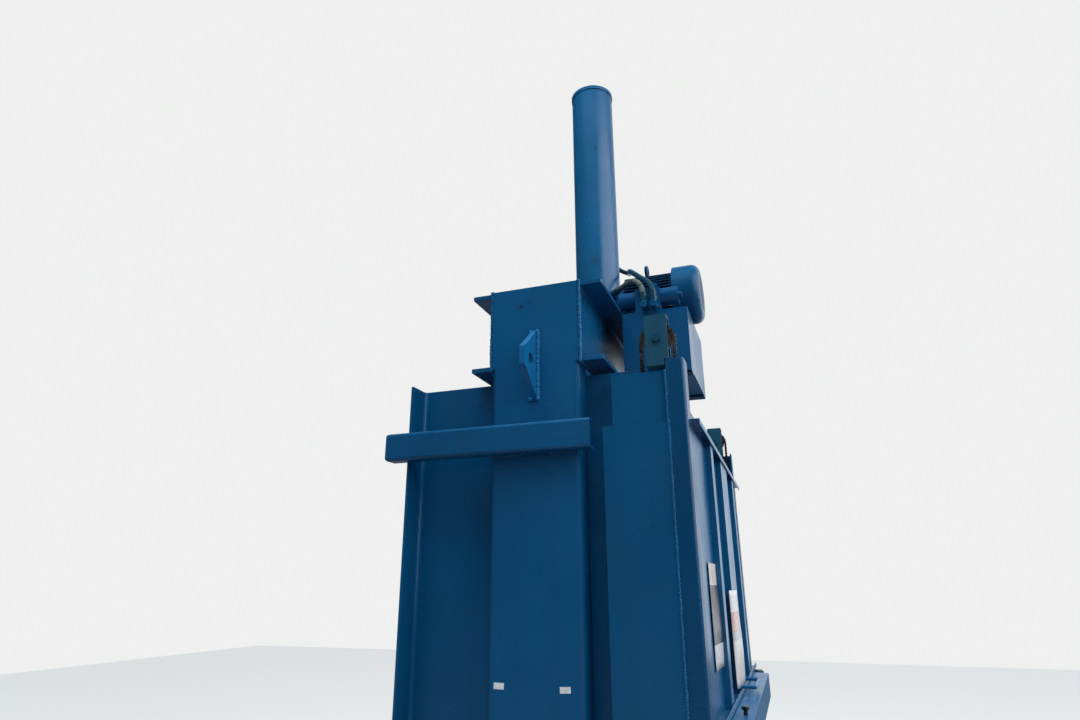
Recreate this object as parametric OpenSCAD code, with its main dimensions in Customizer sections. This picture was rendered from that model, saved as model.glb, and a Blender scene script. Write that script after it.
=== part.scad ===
// Vertical mill-size recycling baler with side tension columns, a twin-channel
// crosshead, one top cylinder and a chain-hung counterbalanced feed gate.
// Millimetres, +Z up. The feed gate and the bale door face -Y.
// The origin is on the floor, under the cylinder's axis.

/* [Frame] */
// Overall width across the faces of the two side columns
machine_w = 1890; // [1700:10:2100]
// Width of a side column, front to rear
column_w = 320; // [300:10:360]
// Depth of a side column, from its face to the side wall
column_d = 92; // [85:1:110]
// Plate thickness of the side columns
column_t = 12; // [10:1:16]
// Outer bend radius of the folded columns
column_r = 18; // [17:1:22]
// Plate thickness of the side, rear and front walls
wall_t = 10; // [8:1:12]
// Height of the side walls
wall_top = 2303; // [2280:1:2320]
// Rear edge of the side walls, from the cylinder's axis
wall_rear = 486; // [470:1:520]
// Root radius where a side wall turns into its rear flange
wall_r = 14; // [8:1:20]
// Height of the base channels
base_h = 180; // [160:10:220]
// Thickness of the floor plate
floor_t = 12; // [8:1:16]
// Thickness of the four foot plates
foot_t = 20; // [15:1:25]

/* [Crosshead] */
// Underside of the crosshead channels
head_z = 2333; // [2325:1:2345]
// Depth of a crosshead channel
channel_h = 300; // [280:10:320]
// Flange width of a crosshead channel
channel_b = 90; // [80:1:95]
// Web thickness of a crosshead channel
channel_web = 9; // [8:1:12]
// Flange thickness of a crosshead channel
channel_flange = 15.5; // [12:0.5:18]
// Root radius of a crosshead channel
channel_r = 12; // [8:1:15]
// Distance between the backs of the two crosshead channels
channel_gap = 314; // [300:2:318]
// Thickness of the plate that the cylinder bolts to
seat_t = 40; // [30:1:45]
// Thickness of the diaphragms between the channels
diaphragm_t = 12; // [8:1:16]

/* [Side fittings] */
// Height of the lifting lug's weld on the column
lug_h = 252; // [200:2:280]
// Height of the lug's lower corner
lug_z = 2209; // [2180:1:2300]
// How far the lug stands out from the column
lug_out = 118; // [90:1:130]
// Height of the lug's outer edge
lug_edge = 80; // [60:1:120]
// Plate thickness of the lug
lug_t = 20; // [15:1:30]
// Diameter of the lug's shackle hole
lug_hole = 46; // [30:1:50]
// Height of the side rail's section
rail_h = 99; // [80:1:110]
// Depth of the side rail's section
rail_d = 50; // [40:1:60]
// Plate thickness of the side rail
rail_t = 6; // [4:1:8]
// Underside of the side rail
rail_z = 2020; // [1900:1:2050]
// Front end of the side rail
rail_front = -207; // [-225:1:-180]
// Rear end of the side rail
rail_rear = 548; // [500:1:600]

/* [Feed gate] */
// Front face of the gate's skin
gate_face = -512; // [-516:1:-511]
// Thickness of the gate's skin
gate_t = 5; // [4:1:5]
// Underside of the gate when it is shut
gate_z = 1206; // [1206:1:1215]
// Top of the gate when it is shut
gate_top = 2114; // [2050:1:2120]
// Depth of the vertical ribs on the gate
rib_d = 23; // [15:1:28]
// Plate thickness of the ribs
rib_t = 3; // [2:0.5:4]
// Width of the outer ribs
rib_w = 78; // [60:1:100]
// Distance of an outer rib's centre from the middle
rib_x = 472; // [400:1:500]
// Width of the middle panel that carries the handle
panel_w = 272; // [260:1:320]
// How far the top and bottom edges of the gate stand out
edge_d = 30; // [26:1:36]
// Height of the lip on those edges
edge_h = 18; // [12:1:24]
// Width of the handle between its legs
handle_w = 240; // [180:1:250]
// Diameter of the handle's bar
handle_rod = 14; // [12:1:16]
// How far the handle stands out from the middle panel
handle_d = 54; // [45:1:60]
// Height of the handle above the gate's underside
handle_z = 26; // [24:1:40]

/* [Guide posts] */
// Front face of the guide posts
post_face = -515; // [-518:1:-515]
// Rear face of the guide posts
post_rear = -452; // [-455:1:-450]
// Plate thickness of the guide posts
post_t = 8; // [6:1:8]
// Width of a post's front flange, which holds the gate in
post_lip = 75; // [65:1:85]
// Clearance between the gate's edge and the guide post
gate_play = 4; // [3:0.5:5]

/* [Gate chain] */
// Pitch of the roller chain
pitch = 15.875; // [12.7, 15.875]
// Teeth on a chain wheel
teeth = 22; // [20:2:22]
// Pitches of chain that pass when the gate opens fully
travel_links = 30; // [26:1:30]
// Pitches from the wheel down to the gate
gate_links = 34; // [34:1:36]
// Pitches from the wheel down to the weight
weight_links = 22; // [20:1:24]
// Height of the chain wheel's centre
wheel_z = 2379; // [2375:1:2390]
// Distance of the chain wheel's centre behind the posts' rear faces
wheel_back = 22; // [20:1:26]
// Diameter of the chain wheel's fixed axle
axle_d = 20; // [16:1:24]
// Plate thickness of the wheel's bracket
bracket_t = 6; // [5:1:8]
// Width of the wheel's bracket
bracket_w = 54; // [50:1:56]
// Length of the bracket, front to rear
bracket_l = 76; // [70:1:76]
// Height of the bracket
bracket_h = 178; // [160:1:190]
// Roller diameter of the chain
roller_d = 10.16; // [7.5:0.02:10.16]
// Height of the chain's side plates
link_h = 13.6; // [10:0.1:14]

/* [Counterweights] */
// Height of a counterweight
weight_h = 540; // [480:10:560]
// Thickness of a counterweight
weight_w = 64; // [55:1:66]
// Length of a counterweight, front to rear
weight_l = 180; // [160:1:190]
// Rear face of the weight box
box_rear = -238; // [-242:1:-225]
// Top of the weight box
box_top = 2093; // [2085:1:2110]
// Underside of the weight box
box_z = 900; // [800:10:940]
// Top of the narrower chain box above it
chain_box_top = 2266; // [2240:1:2270]
// Sheet thickness of both boxes
box_t = 4; // [3:0.5:5]

/* [Bale door] */
// Underside of the bale door
door_z = 200; // [198:1:215]
// Top of the door's leaf
door_top = 1150; // [1100:1:1155]
// Size of the square beams across the door
beam = 100; // [80:5:100]
// Wall thickness of those beams
beam_t = 5; // [4:1:8]
// Half of a beam's length
beam_x = 650; // [600:10:655]
// Top of the uppermost beam
ledge_z = 1200; // [1190:1:1203]
// Width of a wire rib inside the chamber
wire_rib_w = 60; // [50:2:70]
// Number of wire ribs across the door and the rear wall
wire_ribs = 8; // [6:1:9]
// Diameter of the door's hinge pins
hinge_d = 30; // [24:1:34]
// Outer radius of the hinge eyes
hinge_r = 28; // [26:1:29]
// Thickness of the hinge eyes
hinge_t = 20; // [16:1:24]
// Length of the lock lever
lever_l = 420; // [350:10:450]
// Half of the lock lever's swing, in degrees
lever_swing = 27; // [25:1:28]

/* [Cylinder and platen] */
// Outside diameter of the barrel
barrel_d = 220; // [200:2:230]
// Bore of the barrel
bore_d = 180; // [160:2:184]
// Top of the barrel's end cap
barrel_top = 4204; // [3900:4:4300]
// Diameter of the piston rod
rod_d = 120; // [100:2:130]
// Diameter of the cylinder's flange
flange_d = 340; // [330:2:360]
// Thickness of the cylinder's flange
flange_t = 45; // [35:1:50]
// Number of bolts in the flange
flange_bolts = 8; // [6:1:10]
// Working stroke of the platen
stroke = 1070; // [900:10:1080]
// Underside of the platen when it is raised
platen_z = 1720; // [1700:5:1760]
// Gap between the platen and the side walls
platen_gap = 15; // [10:1:20]

/* [Power unit] */
// Near end of the oil tank along the machine's width
tank_x = -630; // [-680:5:-600]
// Length of the oil tank
tank_l = 430; // [400:5:480]
// Front of the oil tank
tank_front = -504; // [-504:1:-490]
// Height of the oil tank
tank_h = 255; // [240:5:260]
// Height of the motor's axis above the tank
motor_h = 135; // [132:1:140]
// Radius of the motor's fan cowl
cowl_r = 124; // [118:1:126]
// Front end of the fan cowl
cowl_front = -545; // [-555:1:-535]
// Length of the fan cowl
cowl_l = 107; // [95:1:115]
// Radius over the motor's fins
fin_r = 106; // [100:1:108]
// Length of the finned body
motor_l = 200; // [180:5:205]
// Pitch of the motor's fins
fin_pitch = 14; // [12:1:18]
// Diameter of the motor's shaft
shaft_d = 38; // [28:2:42]
// Diameter of the hoses
hose_d = 22; // [18:1:24]

/* [Control cabinet] */
// Width of the control cabinet
cabinet_w = 300; // [260:10:340]
// Height of the control cabinet
cabinet_h = 500; // [440:10:560]
// Depth of the control cabinet
cabinet_d = 200; // [160:10:220]
// Underside of the control cabinet
cabinet_z = 1150; // [1000:10:1250]
// Sheet thickness of the cabinet
cabinet_t = 2; // [1.5:0.5:3]

/* [Hidden] */
$fn = 64;
eps = 0.01;
// Clearance of a piece that rests on another body
seat_gap = 0.3;
// Radial clearance of a pin or shaft that turns or slides in its bore
run_gap = 0.05;

half_w = machine_w / 2;
wall_x = half_w - column_d;
inner_x = wall_x - wall_t;
paint = "#17507a";
paint_lit = "#2a6b9e";
steel = "#8d9298";
dark = "#22262a";

channel_back = channel_gap / 2;
head_len = 2 * (half_w - column_t);
head_top = head_z + channel_h;
floor_z = base_h + floor_t;
rear_in = wall_rear - 100;
chamber_front = post_rear;
wire_rib_d = 37;

// A rectangle from the origin with rounded corners
module round_rect(w, h, r) {
    translate([r, 0]) square([w - 2 * r, h]);
    translate([0, r]) square([w, h - 2 * r]);
    for (x = [r, w - r], y = [r, h - r]) translate([x, y]) circle(r);
}

// A folded channel: its back lies on x = 0, and its flanges reach x = d
module folded_channel(w, d, t, r) {
    difference() {
        translate([0, -w / 2]) round_rect(d + 2 * r, w, r);
        translate([t, t - w / 2]) round_rect(d + 2 * r, w - 2 * t, r - t);
        translate([d, -w / 2 - 1]) square([3 * r, w + 2]);
    }
}

// A rolled channel: its back lies on x = 0, and its flanges reach x = b
module rolled_channel(h, b, web, flange, r) {
    difference() {
        square([b, h]);
        translate([web, flange + r]) square([b, h - 2 * flange - 2 * r]);
        translate([web + r, flange]) square([b, h - 2 * flange]);
        for (y = [flange + r, h - flange - r]) translate([web + r, y]) circle(r);
    }
}

module at_left() { children(); }
module at_right() { mirror([1, 0, 0]) children(); }

// Turns a solid built up along Z so that it runs along +Y
module along_y(x, y, z) { translate([x, y, z]) rotate([-90, 0, 0]) children(); }

// Turns a solid built up along Z so that it runs along +X
module along_x(x, y, z) { translate([x, y, z]) rotate([0, 90, 0]) children(); }

// Base: three cross channels under the floor, edge members and four feet
base_web = 6;
base_flange = 10.5;
base_b = 75;
foot_l = 200;
foot_hole = 22;
foot_x = half_w + 5;
foot_y = 380;
anchor_x = wall_x + 50;

module base_channel(y, side) {
    translate([-inner_x, y, foot_t]) rotate([90, 0, 90])
        linear_extrude(2 * inner_x)
            scale([side, 1]) rolled_channel(base_h - foot_t, base_b, base_web, base_flange, 10);
}

module base_frame() color(paint) {
    base_channel(chamber_front + 4, 1);
    base_channel(-channel_back, 1);
    base_channel(channel_back, -1);
    base_channel(rear_in, -1);
    for (x = [-inner_x + 6, inner_x - 12 - 6])
        translate([x, chamber_front + base_b + 4, foot_t])
            cube([12, rear_in - chamber_front - 2 * base_b - 4, base_h - foot_t - 40]);
    for (sx = [-1, 1], end = [[post_face, -foot_y + foot_l / 2], [foot_y - foot_l / 2, foot_y + foot_l / 2]])
        difference() {
            translate([sx > 0 ? inner_x - 120 : -foot_x, end[0], 0])
                cube([foot_x - inner_x + 120, end[1] - end[0], foot_t]);
            for (y = [end[1] - foot_l + 40, end[1] - 40])
                translate([sx * anchor_x, y, -1]) cylinder(d = foot_hole, h = foot_t + 2);
        }
}

module floor_plate() color(steel)
    translate([-inner_x, chamber_front, base_h]) cube([2 * inner_x, rear_in - chamber_front, floor_t]);

// Side wall: one plate, its rear edge turned outward as a flange
module side_wall() color(paint)
    translate([0, 0, foot_t]) linear_extrude(wall_top - foot_t) difference() {
        union() {
            translate([-wall_x, post_rear]) square([wall_t, wall_rear - post_rear]);
            translate([-half_w, wall_rear - wall_t]) square([column_d, wall_t]);
            translate([-wall_x - wall_r, wall_rear - wall_t - wall_r]) square(wall_r);
        }
        translate([-wall_x - wall_r, wall_rear - wall_t - wall_r]) circle(wall_r);
    }

// Side column: folded channel; only its face goes on past the crosshead
module column() color(paint) {
    translate([-half_w, 0, foot_t]) linear_extrude(head_z - foot_t)
        folded_channel(column_w, column_d, column_t, column_r);
    translate([-half_w, -column_w / 2, head_z]) cube([column_t, column_w, channel_h]);
}

module crosshead_channel() color(paint)
    translate([-head_len / 2, -channel_back, head_z]) rotate([90, 0, 90]) linear_extrude(head_len)
        mirror([1, 0]) rolled_channel(channel_h, channel_b, channel_web, channel_flange, channel_r);

// Seat: thick plate under the channels, with two diaphragms between them
seat_half = 220;
diaphragm_x = 190;

module bolt_ring(r, d, h, n) for (i = [0:n - 1]) rotate(360 / n * (i + 0.5))
    translate([r, 0, 0]) cylinder(d = d, h = h);

bolt_r = (barrel_d + flange_d) / 4;
bolt_d = 24;

module crosshead_seat() color(paint) {
    difference() {
        translate([-seat_half, -channel_back - channel_b, head_z - seat_t])
            cube([2 * seat_half, 2 * (channel_back + channel_b), seat_t]);
        translate([0, 0, head_z - seat_t - 1]) cylinder(d = barrel_d + 1, h = seat_t + 2);
        translate([0, 0, head_z - seat_t - 1]) bolt_ring(bolt_r, bolt_d + 1, seat_t + 2, flange_bolts);
    }
    for (x = [-diaphragm_x - diaphragm_t, diaphragm_x])
        translate([x, -channel_back, head_z]) cube([diaphragm_t, 2 * channel_back, channel_h]);
}

// Even places of n copies across a width, centred on zero
function spread(n, w) = [for (i = [0:n - 1]) -w / 2 + w / (n - 1) * i];

wire_span = 2 * (inner_x - 70);
rear_bar_h = 100;
rear_bars = [400, 950, 1500, wall_top - rear_bar_h];

module rear_wall() color(paint) {
    translate([-inner_x, rear_in, floor_z]) cube([2 * inner_x, wall_t, wall_top - floor_z]);
    for (x = spread(wire_ribs, wire_span))
        translate([x - wire_rib_w / 2, rear_in - wire_rib_d, floor_z])
            cube([wire_rib_w, wire_rib_d, door_top - floor_z]);
    for (z = rear_bars) translate([-inner_x, wall_rear, z]) rotate([90, 0, 90])
        linear_extrude(2 * inner_x) mirror([1, 0]) translate([0, rear_bar_h / 2])
            folded_channel(rear_bar_h, wall_rear - rear_in - wall_t, 6, 10);
}

// Header: fixed front panel behind the gate, turned back along its top
header_z = gate_z + travel_links * pitch + 8;
header_top = wall_top - 53;
header_back = 50;

module front_header() color(paint) {
    translate([-wall_x, post_rear - post_t, header_z]) cube([2 * wall_x, post_t, header_top - header_z]);
    translate([-inner_x, post_rear, header_top - post_t]) cube([2 * inner_x, header_back, post_t]);
    translate([-inner_x, post_rear, header_z]) cube([2 * inner_x, 4, 60]);
}

// Sill: square tube across the front, on which the shut gate rests
sill_h = gate_z - seat_gap - door_top - 3;
sill_d = 50;
module front_sill() color(paint) difference() {
    translate([-half_w + post_t + 2, post_rear - post_t - sill_d + 3, door_top + 3])
        cube([machine_w - 2 * post_t - 4, sill_d - 3, sill_h]);
    translate([-half_w, post_rear - post_t - sill_d + 7, door_top + 7])
        cube([machine_w, sill_d - 11, sill_h - 8]);
}

// Guide post: folded channel that holds the gate's edge and hides the chain
module guide_post() color(paint) translate([0, 0, foot_t]) linear_extrude(wall_top - foot_t)
    difference() {
        translate([-half_w, post_face])
            round_rect(column_d + 20, post_rear - post_face, post_t + 2);
        translate([-half_w + post_t, post_face + post_t])
            round_rect(column_d + 20, post_rear - post_face - 2 * post_t, 2);
        translate([-half_w + post_lip, post_face - 1]) square([column_d, post_t + 4]);
        translate([-wall_x, post_face - 1]) square([60, post_rear - post_face + 2]);
    }

// Hinge eyes on the far post and keepers on the near one, at these heights
hinge_x = half_w - 30;
hinge_y = post_face - 30;
hinge_zs = [230, 675, ledge_z - beam / 2];
keeper_zs = [330, 640, 1020];
hinge_play = 0.5;
keeper_h = 40;
keeper_d = 58;
keeper_t = 10;
keeper_w = 48;
keeper_x = half_w - 32;
bar_y = gate_face - 7;
bar_d = 16;

module hinge_eye(z) translate([0, 0, z]) difference() {
    union() {
        translate([hinge_x, hinge_y]) cylinder(r = hinge_r, h = hinge_t);
        translate([hinge_x - hinge_r, hinge_y]) cube([2 * hinge_r, post_face - hinge_y, hinge_t]);
    }
    translate([hinge_x, hinge_y, -1]) cylinder(d = hinge_d, h = hinge_t + 2);
}

module keeper(z) translate([-keeper_x - keeper_w / 2, post_face - keeper_d, z]) difference() {
    cube([keeper_w, keeper_d, keeper_h]);
    translate([keeper_t, 18, -1]) cube([keeper_w - 2 * keeper_t, keeper_d, keeper_h + 2]);
}

module guide_post_left() color(paint) {
    guide_post();
    for (z = keeper_zs) keeper(z);
}

module guide_post_right() color(paint) {
    at_right() guide_post();
    for (z = hinge_zs, s = [-1, 1])
        hinge_eye(z - hinge_t / 2 + s * (hinge_t + hinge_play));
}

module door_hinge_pins() color(steel) for (z = hinge_zs)
    translate([hinge_x, hinge_y, z - 1.5 * hinge_t - hinge_play - 4]) {
        cylinder(d = hinge_d, h = 3 * hinge_t + 2 * hinge_play + 8);
        translate([0, 0, 3 * hinge_t + 2 * hinge_play + 4]) cylinder(d = hinge_d + 10, h = 6);
    }

// Side rail: folded channel with its back outward, across the column
module side_rail() translate([-half_w - rail_d, 0, rail_z + rail_h / 2]) difference() {
    translate([0, rail_front, 0]) rotate([-90, 0, 0]) linear_extrude(rail_rear - rail_front)
        folded_channel(rail_h, rail_d, rail_t, 12);
    for (s = [-1, 1]) translate([rail_d / 2, rail_rear - rail_h / 2, 0]) scale([1, 1, s])
        translate([0, 12, rail_h / 2 - 12]) rotate([0, 90, 0]) difference() {
            translate([-40, rail_h / 2 - 24, -rail_d]) cube([40, 40, 2 * rail_d]);
            translate([0, rail_h / 2 - 24, -rail_d - 1]) cylinder(r = 12, h = 2 * rail_d + 2);
            translate([0, 0, -rail_d - 1]) cube([60, 60, 2 * rail_d + 2]);
        }
}

module side_rails() color(paint) {
    side_rail();
    at_right() side_rail();
}

// Lifting lug: one thick plate welded edge-on to the column's face
module lifting_lug() translate([-half_w, lug_t / 2, lug_z]) rotate([90, 0, 0])
    linear_extrude(lug_t) difference() {
        union() {
            polygon([[0, 0], [0, lug_h], [-lug_out + 12, (lug_h + lug_edge) / 2],
                [-lug_out, lug_h / 2 + lug_edge / 2 - 12], [-lug_out, lug_h / 2 - lug_edge / 2 + 12],
                [-lug_out + 12, (lug_h - lug_edge) / 2]]);
            for (s = [-1, 1]) translate([-lug_out + 12, lug_h / 2 + s * (lug_edge / 2 - 12)]) circle(12);
        }
        translate([-lug_out * 0.5, lug_h / 2]) circle(d = lug_hole);
    }

module lifting_lugs() color(paint) {
    lifting_lug();
    at_right() lifting_lug();
}

// Chain wheel places
wheel_y = post_rear + wheel_back;
pitch_r = pitch / 2 / sin(180 / teeth);
chain_x = half_w - 30;
chain_w = 15;
roller_w = 6.6;
plate_t = 1.5;

// Weight box: folded cover against the side wall, with a chain box above
box_x = half_w;
box_front = post_rear;
weight_y = wheel_y + pitch_r;
chain_slot = 26;
chain_box_x = half_w - 10;
chain_box_front = box_front + 6;
chain_box_rear = box_rear - 32;

module box_shell(x, y0, y1, z0, z1, t) difference() {
    translate([-x, y0, z0]) cube([x - wall_x, y1 - y0, z1 - z0]);
    translate([-x + t, y0 + t, z0 - 1]) cube([x, y1 - y0 - 2 * t, z1 - z0 - t + 1]);
}

module weight_box() color(paint) difference() {
    union() {
        difference() {
            box_shell(box_x, box_front, box_rear, box_z, box_top, box_t);
            translate([-chain_box_x + box_t, chain_box_front + box_t, box_top - 2 * box_t])
                cube([column_d, chain_box_rear - chain_box_front - 2 * box_t, 3 * box_t]);
        }
        box_shell(chain_box_x, chain_box_front, chain_box_rear, box_top, chain_box_top, box_t);
    }
    translate([-chain_x - chain_slot / 2, weight_y - chain_slot / 2, chain_box_top - 2 * box_t])
        cube([chain_slot, chain_slot, 3 * box_t]);
}

// Bracket: two plates and a top, standing on the guide post's rear flange
bracket_x0 = half_w;
bracket_x1 = half_w - bracket_w;
bracket_rear = wheel_y + bracket_l / 2;
bracket_front = bracket_rear - bracket_l;
bracket_z = wheel_z - 96;

module sprocket_bracket() color(paint) difference() {
    union() {
        for (x = [-bracket_x0, -bracket_x1 - bracket_t])
            translate([x, 0, 0]) rotate([90, 0, 90]) linear_extrude(bracket_t)
                polygon([[bracket_front, wall_top], [post_rear, wall_top], [post_rear, bracket_z],
                    [bracket_rear, bracket_z], [bracket_rear, bracket_z + bracket_h],
                    [bracket_front, bracket_z + bracket_h]]);
        translate([-bracket_x0, bracket_front, bracket_z + bracket_h - bracket_t])
            cube([bracket_x0 - bracket_x1, bracket_l, bracket_t]);
        translate([-bracket_x0, bracket_rear - 2, bracket_z])
            cube([bracket_x0 - bracket_x1, 2, 12]);
    }
    along_x(-bracket_x0 - 1, wheel_y, wheel_z) cylinder(d = axle_d, h = bracket_x0 - bracket_x1 + 2);
}

module sprocket_axle() {
    along_x(-bracket_x0 - 8, wheel_y, wheel_z) cylinder(d = axle_d + 10, h = 8, $fn = 6);
    along_x(-bracket_x0, wheel_y, wheel_z) cylinder(d = axle_d, h = bracket_x0 - bracket_x1 + 4);
    along_x(-bracket_x1, wheel_y, wheel_z) cylinder(d = axle_d + 10, h = 10, $fn = 6);
}

module sprocket_axles() color(steel) {
    sprocket_axle();
    at_right() sprocket_axle();
}

// Chain wheel: its tips stop just inside the rollers
tip_r = pitch_r - roller_d / 2 - seat_gap;
wheel_t = 6;
hub_r = 24;
wheel_clear = 0.4;
hub_start = chain_x - bracket_x0 + bracket_t + wheel_clear;
hub_end = chain_x - bracket_x1 - bracket_t - wheel_clear;

module sprocket() color(steel) along_x(-chain_x, wheel_y, wheel_z) difference() {
    union() {
        translate([0, 0, -wheel_t / 2]) cylinder(r = tip_r, h = wheel_t);
        translate([0, 0, hub_start]) cylinder(r = hub_r, h = hub_end - hub_start);
    }
    for (i = [0:teeth - 1]) rotate(360 / teeth * (i + 0.5)) translate([pitch_r, 0, -wheel_t])
        cylinder(d = roller_d + 4, h = 2 * wheel_t);
    translate([0, 0, -60]) cylinder(d = axle_d + 2 * run_gap, h = 120);
}

// Chain: pin i's place as [y, z], up the gate's side, over the wheel and down
wrap = teeth / 2;
function chain_pin(i) =
    i < 0 ? [wheel_y - pitch_r, wheel_z + i * pitch]
    : i > wrap ? [wheel_y + pitch_r, wheel_z - (i - wrap) * pitch]
    : [wheel_y - pitch_r * cos(180 * i / wrap), wheel_z + pitch_r * sin(180 * i / wrap)];

module link_plate(a, b, x) {
    turn = atan2(b[1] - a[1], b[0] - a[0]);
    translate([x, a[0], a[1]]) rotate([90, 0, 90]) rotate(turn) linear_extrude(plate_t) {
        circle(d = link_h, $fn = 24);
        translate([pitch, 0]) circle(d = link_h, $fn = 24);
        translate([0, -link_h * 0.36]) square([pitch, link_h * 0.72]);
    }
}

module chain() color(dark) translate([-chain_x, 0, 0]) {
    for (i = [-gate_links:wrap + weight_links - 1]) {
        off = roller_w / 2 + (i % 2 == 0 ? plate_t + 0.1 : 0);
        link_plate(chain_pin(i), chain_pin(i + 1), off);
        link_plate(chain_pin(i), chain_pin(i + 1), -off - plate_t);
    }
    for (i = [-gate_links:wrap + weight_links])
        along_x(-chain_w / 2, chain_pin(i)[0], chain_pin(i)[1]) cylinder(d = 5, h = chain_w);
    for (i = [-gate_links:wrap + weight_links])
        along_x(-roller_w / 2, chain_pin(i)[0], chain_pin(i)[1]) cylinder(d = roller_d, h = roller_w);
}

// Counterweight: a solid bar with a hanging eye under the chain's end
eye_t = 10;
eye_top = wheel_z - weight_links * pitch - link_h / 2 - seat_gap;
weight_top = eye_top - 40;
weight_x = (box_x - box_t + wall_x) / 2;

module counterweight() color(dark) {
    translate([-weight_x - weight_w / 2, weight_y - weight_l / 2 + 18, weight_top - weight_h])
        cube([weight_w, weight_l, weight_h]);
    translate([-chain_x - eye_t / 2, weight_y - 15, weight_top]) cube([eye_t, 30, 40]);
}

// Gate: ribbed skin with turned-out edges, stiles that run in the posts
skin_x = half_w - post_lip - 3;
stile_out = bracket_x1 - 3;
lug_x = chain_x - chain_w / 2 - seat_gap;
stile_in = skin_x - 25;
stile_front = post_face + post_t + gate_play;
stile_back = post_rear - post_t - gate_play + 1;
anchor_z = wheel_z - gate_links * pitch;
skin_back = gate_face + gate_t;

module gate_rib(x, w) translate([x, gate_face, gate_z]) difference() {
    translate([-w / 2, -rib_d, 0]) cube([w, rib_d, gate_top - gate_z - 4]);
    translate([rib_t - w / 2, rib_t - rib_d, -1]) cube([w - 2 * rib_t, rib_d, gate_top - gate_z + 2]);
}

module gate_edge(z, side) {
    translate([-skin_x, gate_face - edge_d, z]) cube([2 * skin_x, edge_d, 4]);
    translate([-skin_x, gate_face - edge_d, side > 0 ? z : z - edge_h + 4]) cube([2 * skin_x, 4, edge_h]);
}

module feed_gate() color(paint_lit) {
    translate([-skin_x, gate_face, gate_z]) cube([2 * skin_x, gate_t, gate_top - gate_z]);
    gate_rib(-rib_x, rib_w);
    gate_rib(0, panel_w);
    gate_rib(rib_x, rib_w);
    gate_edge(gate_top - 4, -1);
    gate_edge(gate_z, 1);
    for (s = [-1, 1]) scale([s, 1, 1]) {
        translate([stile_in, skin_back, gate_z]) cube([skin_x - stile_in, stile_back - skin_back, gate_top - gate_z]);
        translate([skin_x - eps, stile_front, gate_z])
            cube([stile_out - skin_x + eps, stile_back - stile_front, gate_top - gate_z]);
        translate([stile_out - eps, stile_front + 4, anchor_z - 25])
            cube([lug_x - stile_out + eps, 30, 50]);
    }
}

module gate_handle() color(paint) {
    panel_y = gate_face - rib_d;
    for (s = [-1, 1]) translate([s * handle_w / 2, 0, gate_z + handle_z]) {
        along_y(0, panel_y - handle_d, 0) cylinder(d = handle_rod, h = handle_d);
        translate([0, panel_y - handle_d, 0]) sphere(d = handle_rod);
    }
    along_x(-handle_w / 2, panel_y - handle_d, gate_z + handle_z) cylinder(d = handle_rod, h = handle_w);
}

// Switch that senses the shut gate, on the header
switch_x = -385;
module gate_switch() color(paint) {
    translate([switch_x, post_rear - post_t - 30, header_top - 85]) cube([50, 30, 60]);
    along_y(switch_x + 25, post_rear - post_t - 38, header_top - 101) cylinder(d = 12, h = 8);
    translate([switch_x + 19, post_rear - post_t - 38, header_top - 101]) cube([12, 8, 20]);
}

// Bale door: leaf, wire ribs inside, square beams outside and hinge straps
door_x = skin_x + 2;
door_y = gate_face + gate_t;
leaf_t = 10;
beam_zs = [ledge_z - beam, 780, 460, door_z];
bar_w = 45;
bar_x = beam_x + 30;
guide_zs = [475, 870];
pivot_x = bar_x - 60;
pivot_z = 990;
pivot_d = 24;
pull_x = -530;
strap_l = hinge_x - beam_x + 20;

module door_beam(z) difference() {
    translate([-beam_x, door_y - beam, z]) cube([2 * beam_x, beam, beam]);
    translate([-beam_x - 1, door_y - beam + beam_t, z + beam_t])
        cube([2 * beam_x + 2, beam - 2 * beam_t, beam - 2 * beam_t]);
}

module hinge_strap(z) translate([0, 0, z - hinge_t / 2]) difference() {
    linear_extrude(hinge_t) {
        translate([hinge_x, hinge_y]) circle(hinge_r - 1);
        polygon([[hinge_x, hinge_y - hinge_r + 1], [hinge_x, hinge_y + 20], [door_x, hinge_y + 20],
            [door_x, door_y], [beam_x, door_y], [beam_x, door_y - 70]]);
    }
    translate([hinge_x, hinge_y, -1]) cylinder(d = hinge_d + 2 * run_gap, h = hinge_t + 2);
}

module bar_guide(z) translate([-bar_x - bar_w / 2 - 12, bar_y - bar_d - 10, z]) difference() {
    cube([bar_w + 24, door_y - bar_y + bar_d + 10, 40]);
    translate([12 - 0.5, 10 - 0.5, -1]) cube([bar_w + 1, bar_d + 1, 42]);
}

module bale_door() color(paint_lit) {
    translate([-door_x, door_y, door_z]) cube([2 * door_x, leaf_t, door_top - door_z]);
    for (x = spread(wire_ribs, wire_span))
        translate([x - wire_rib_w / 2, door_y + leaf_t, door_z]) cube([wire_rib_w, wire_rib_d, door_top - door_z]);
    difference() {
        for (z = beam_zs) door_beam(z);
        translate([pull_x, door_y - beam + 30, ledge_z - beam_t - 1]) cylinder(d = 14, h = beam_t + 2);
    }
    for (z = hinge_zs) hinge_strap(z);
    for (z = guide_zs) bar_guide(z);
    along_y(-pivot_x, door_y - beam - 30, pivot_z) cylinder(d = pivot_d, h = beam + 30);
    along_y(-pivot_x, door_y - 12, pivot_z) cylinder(d = 60, h = 12);
}

// Lock bar: upright bar with three arms whose fingers drop into the keepers
finger_z = keeper_h + 4;
arm_h = 40;
arm_clear = 1.5;
bar_top = ledge_z;
cam_r = 60;
cam_pin = 16;
slot_play = 0.6;
cam_rise = cam_r * sin(lever_swing);
cam_drift = cam_r * (1 - cos(lever_swing));
finger_l = 2 * cam_rise - finger_z + keeper_h + arm_clear;

// Pull pin standing on the top beam, beside the gate's lower lip
module pull_pin() color(dark) translate([pull_x, door_y - beam + 30, ledge_z - beam_t]) {
    cylinder(d = 14, h = 24);
    translate([0, 0, 22]) cylinder(d = 26, h = 9);
}

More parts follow.
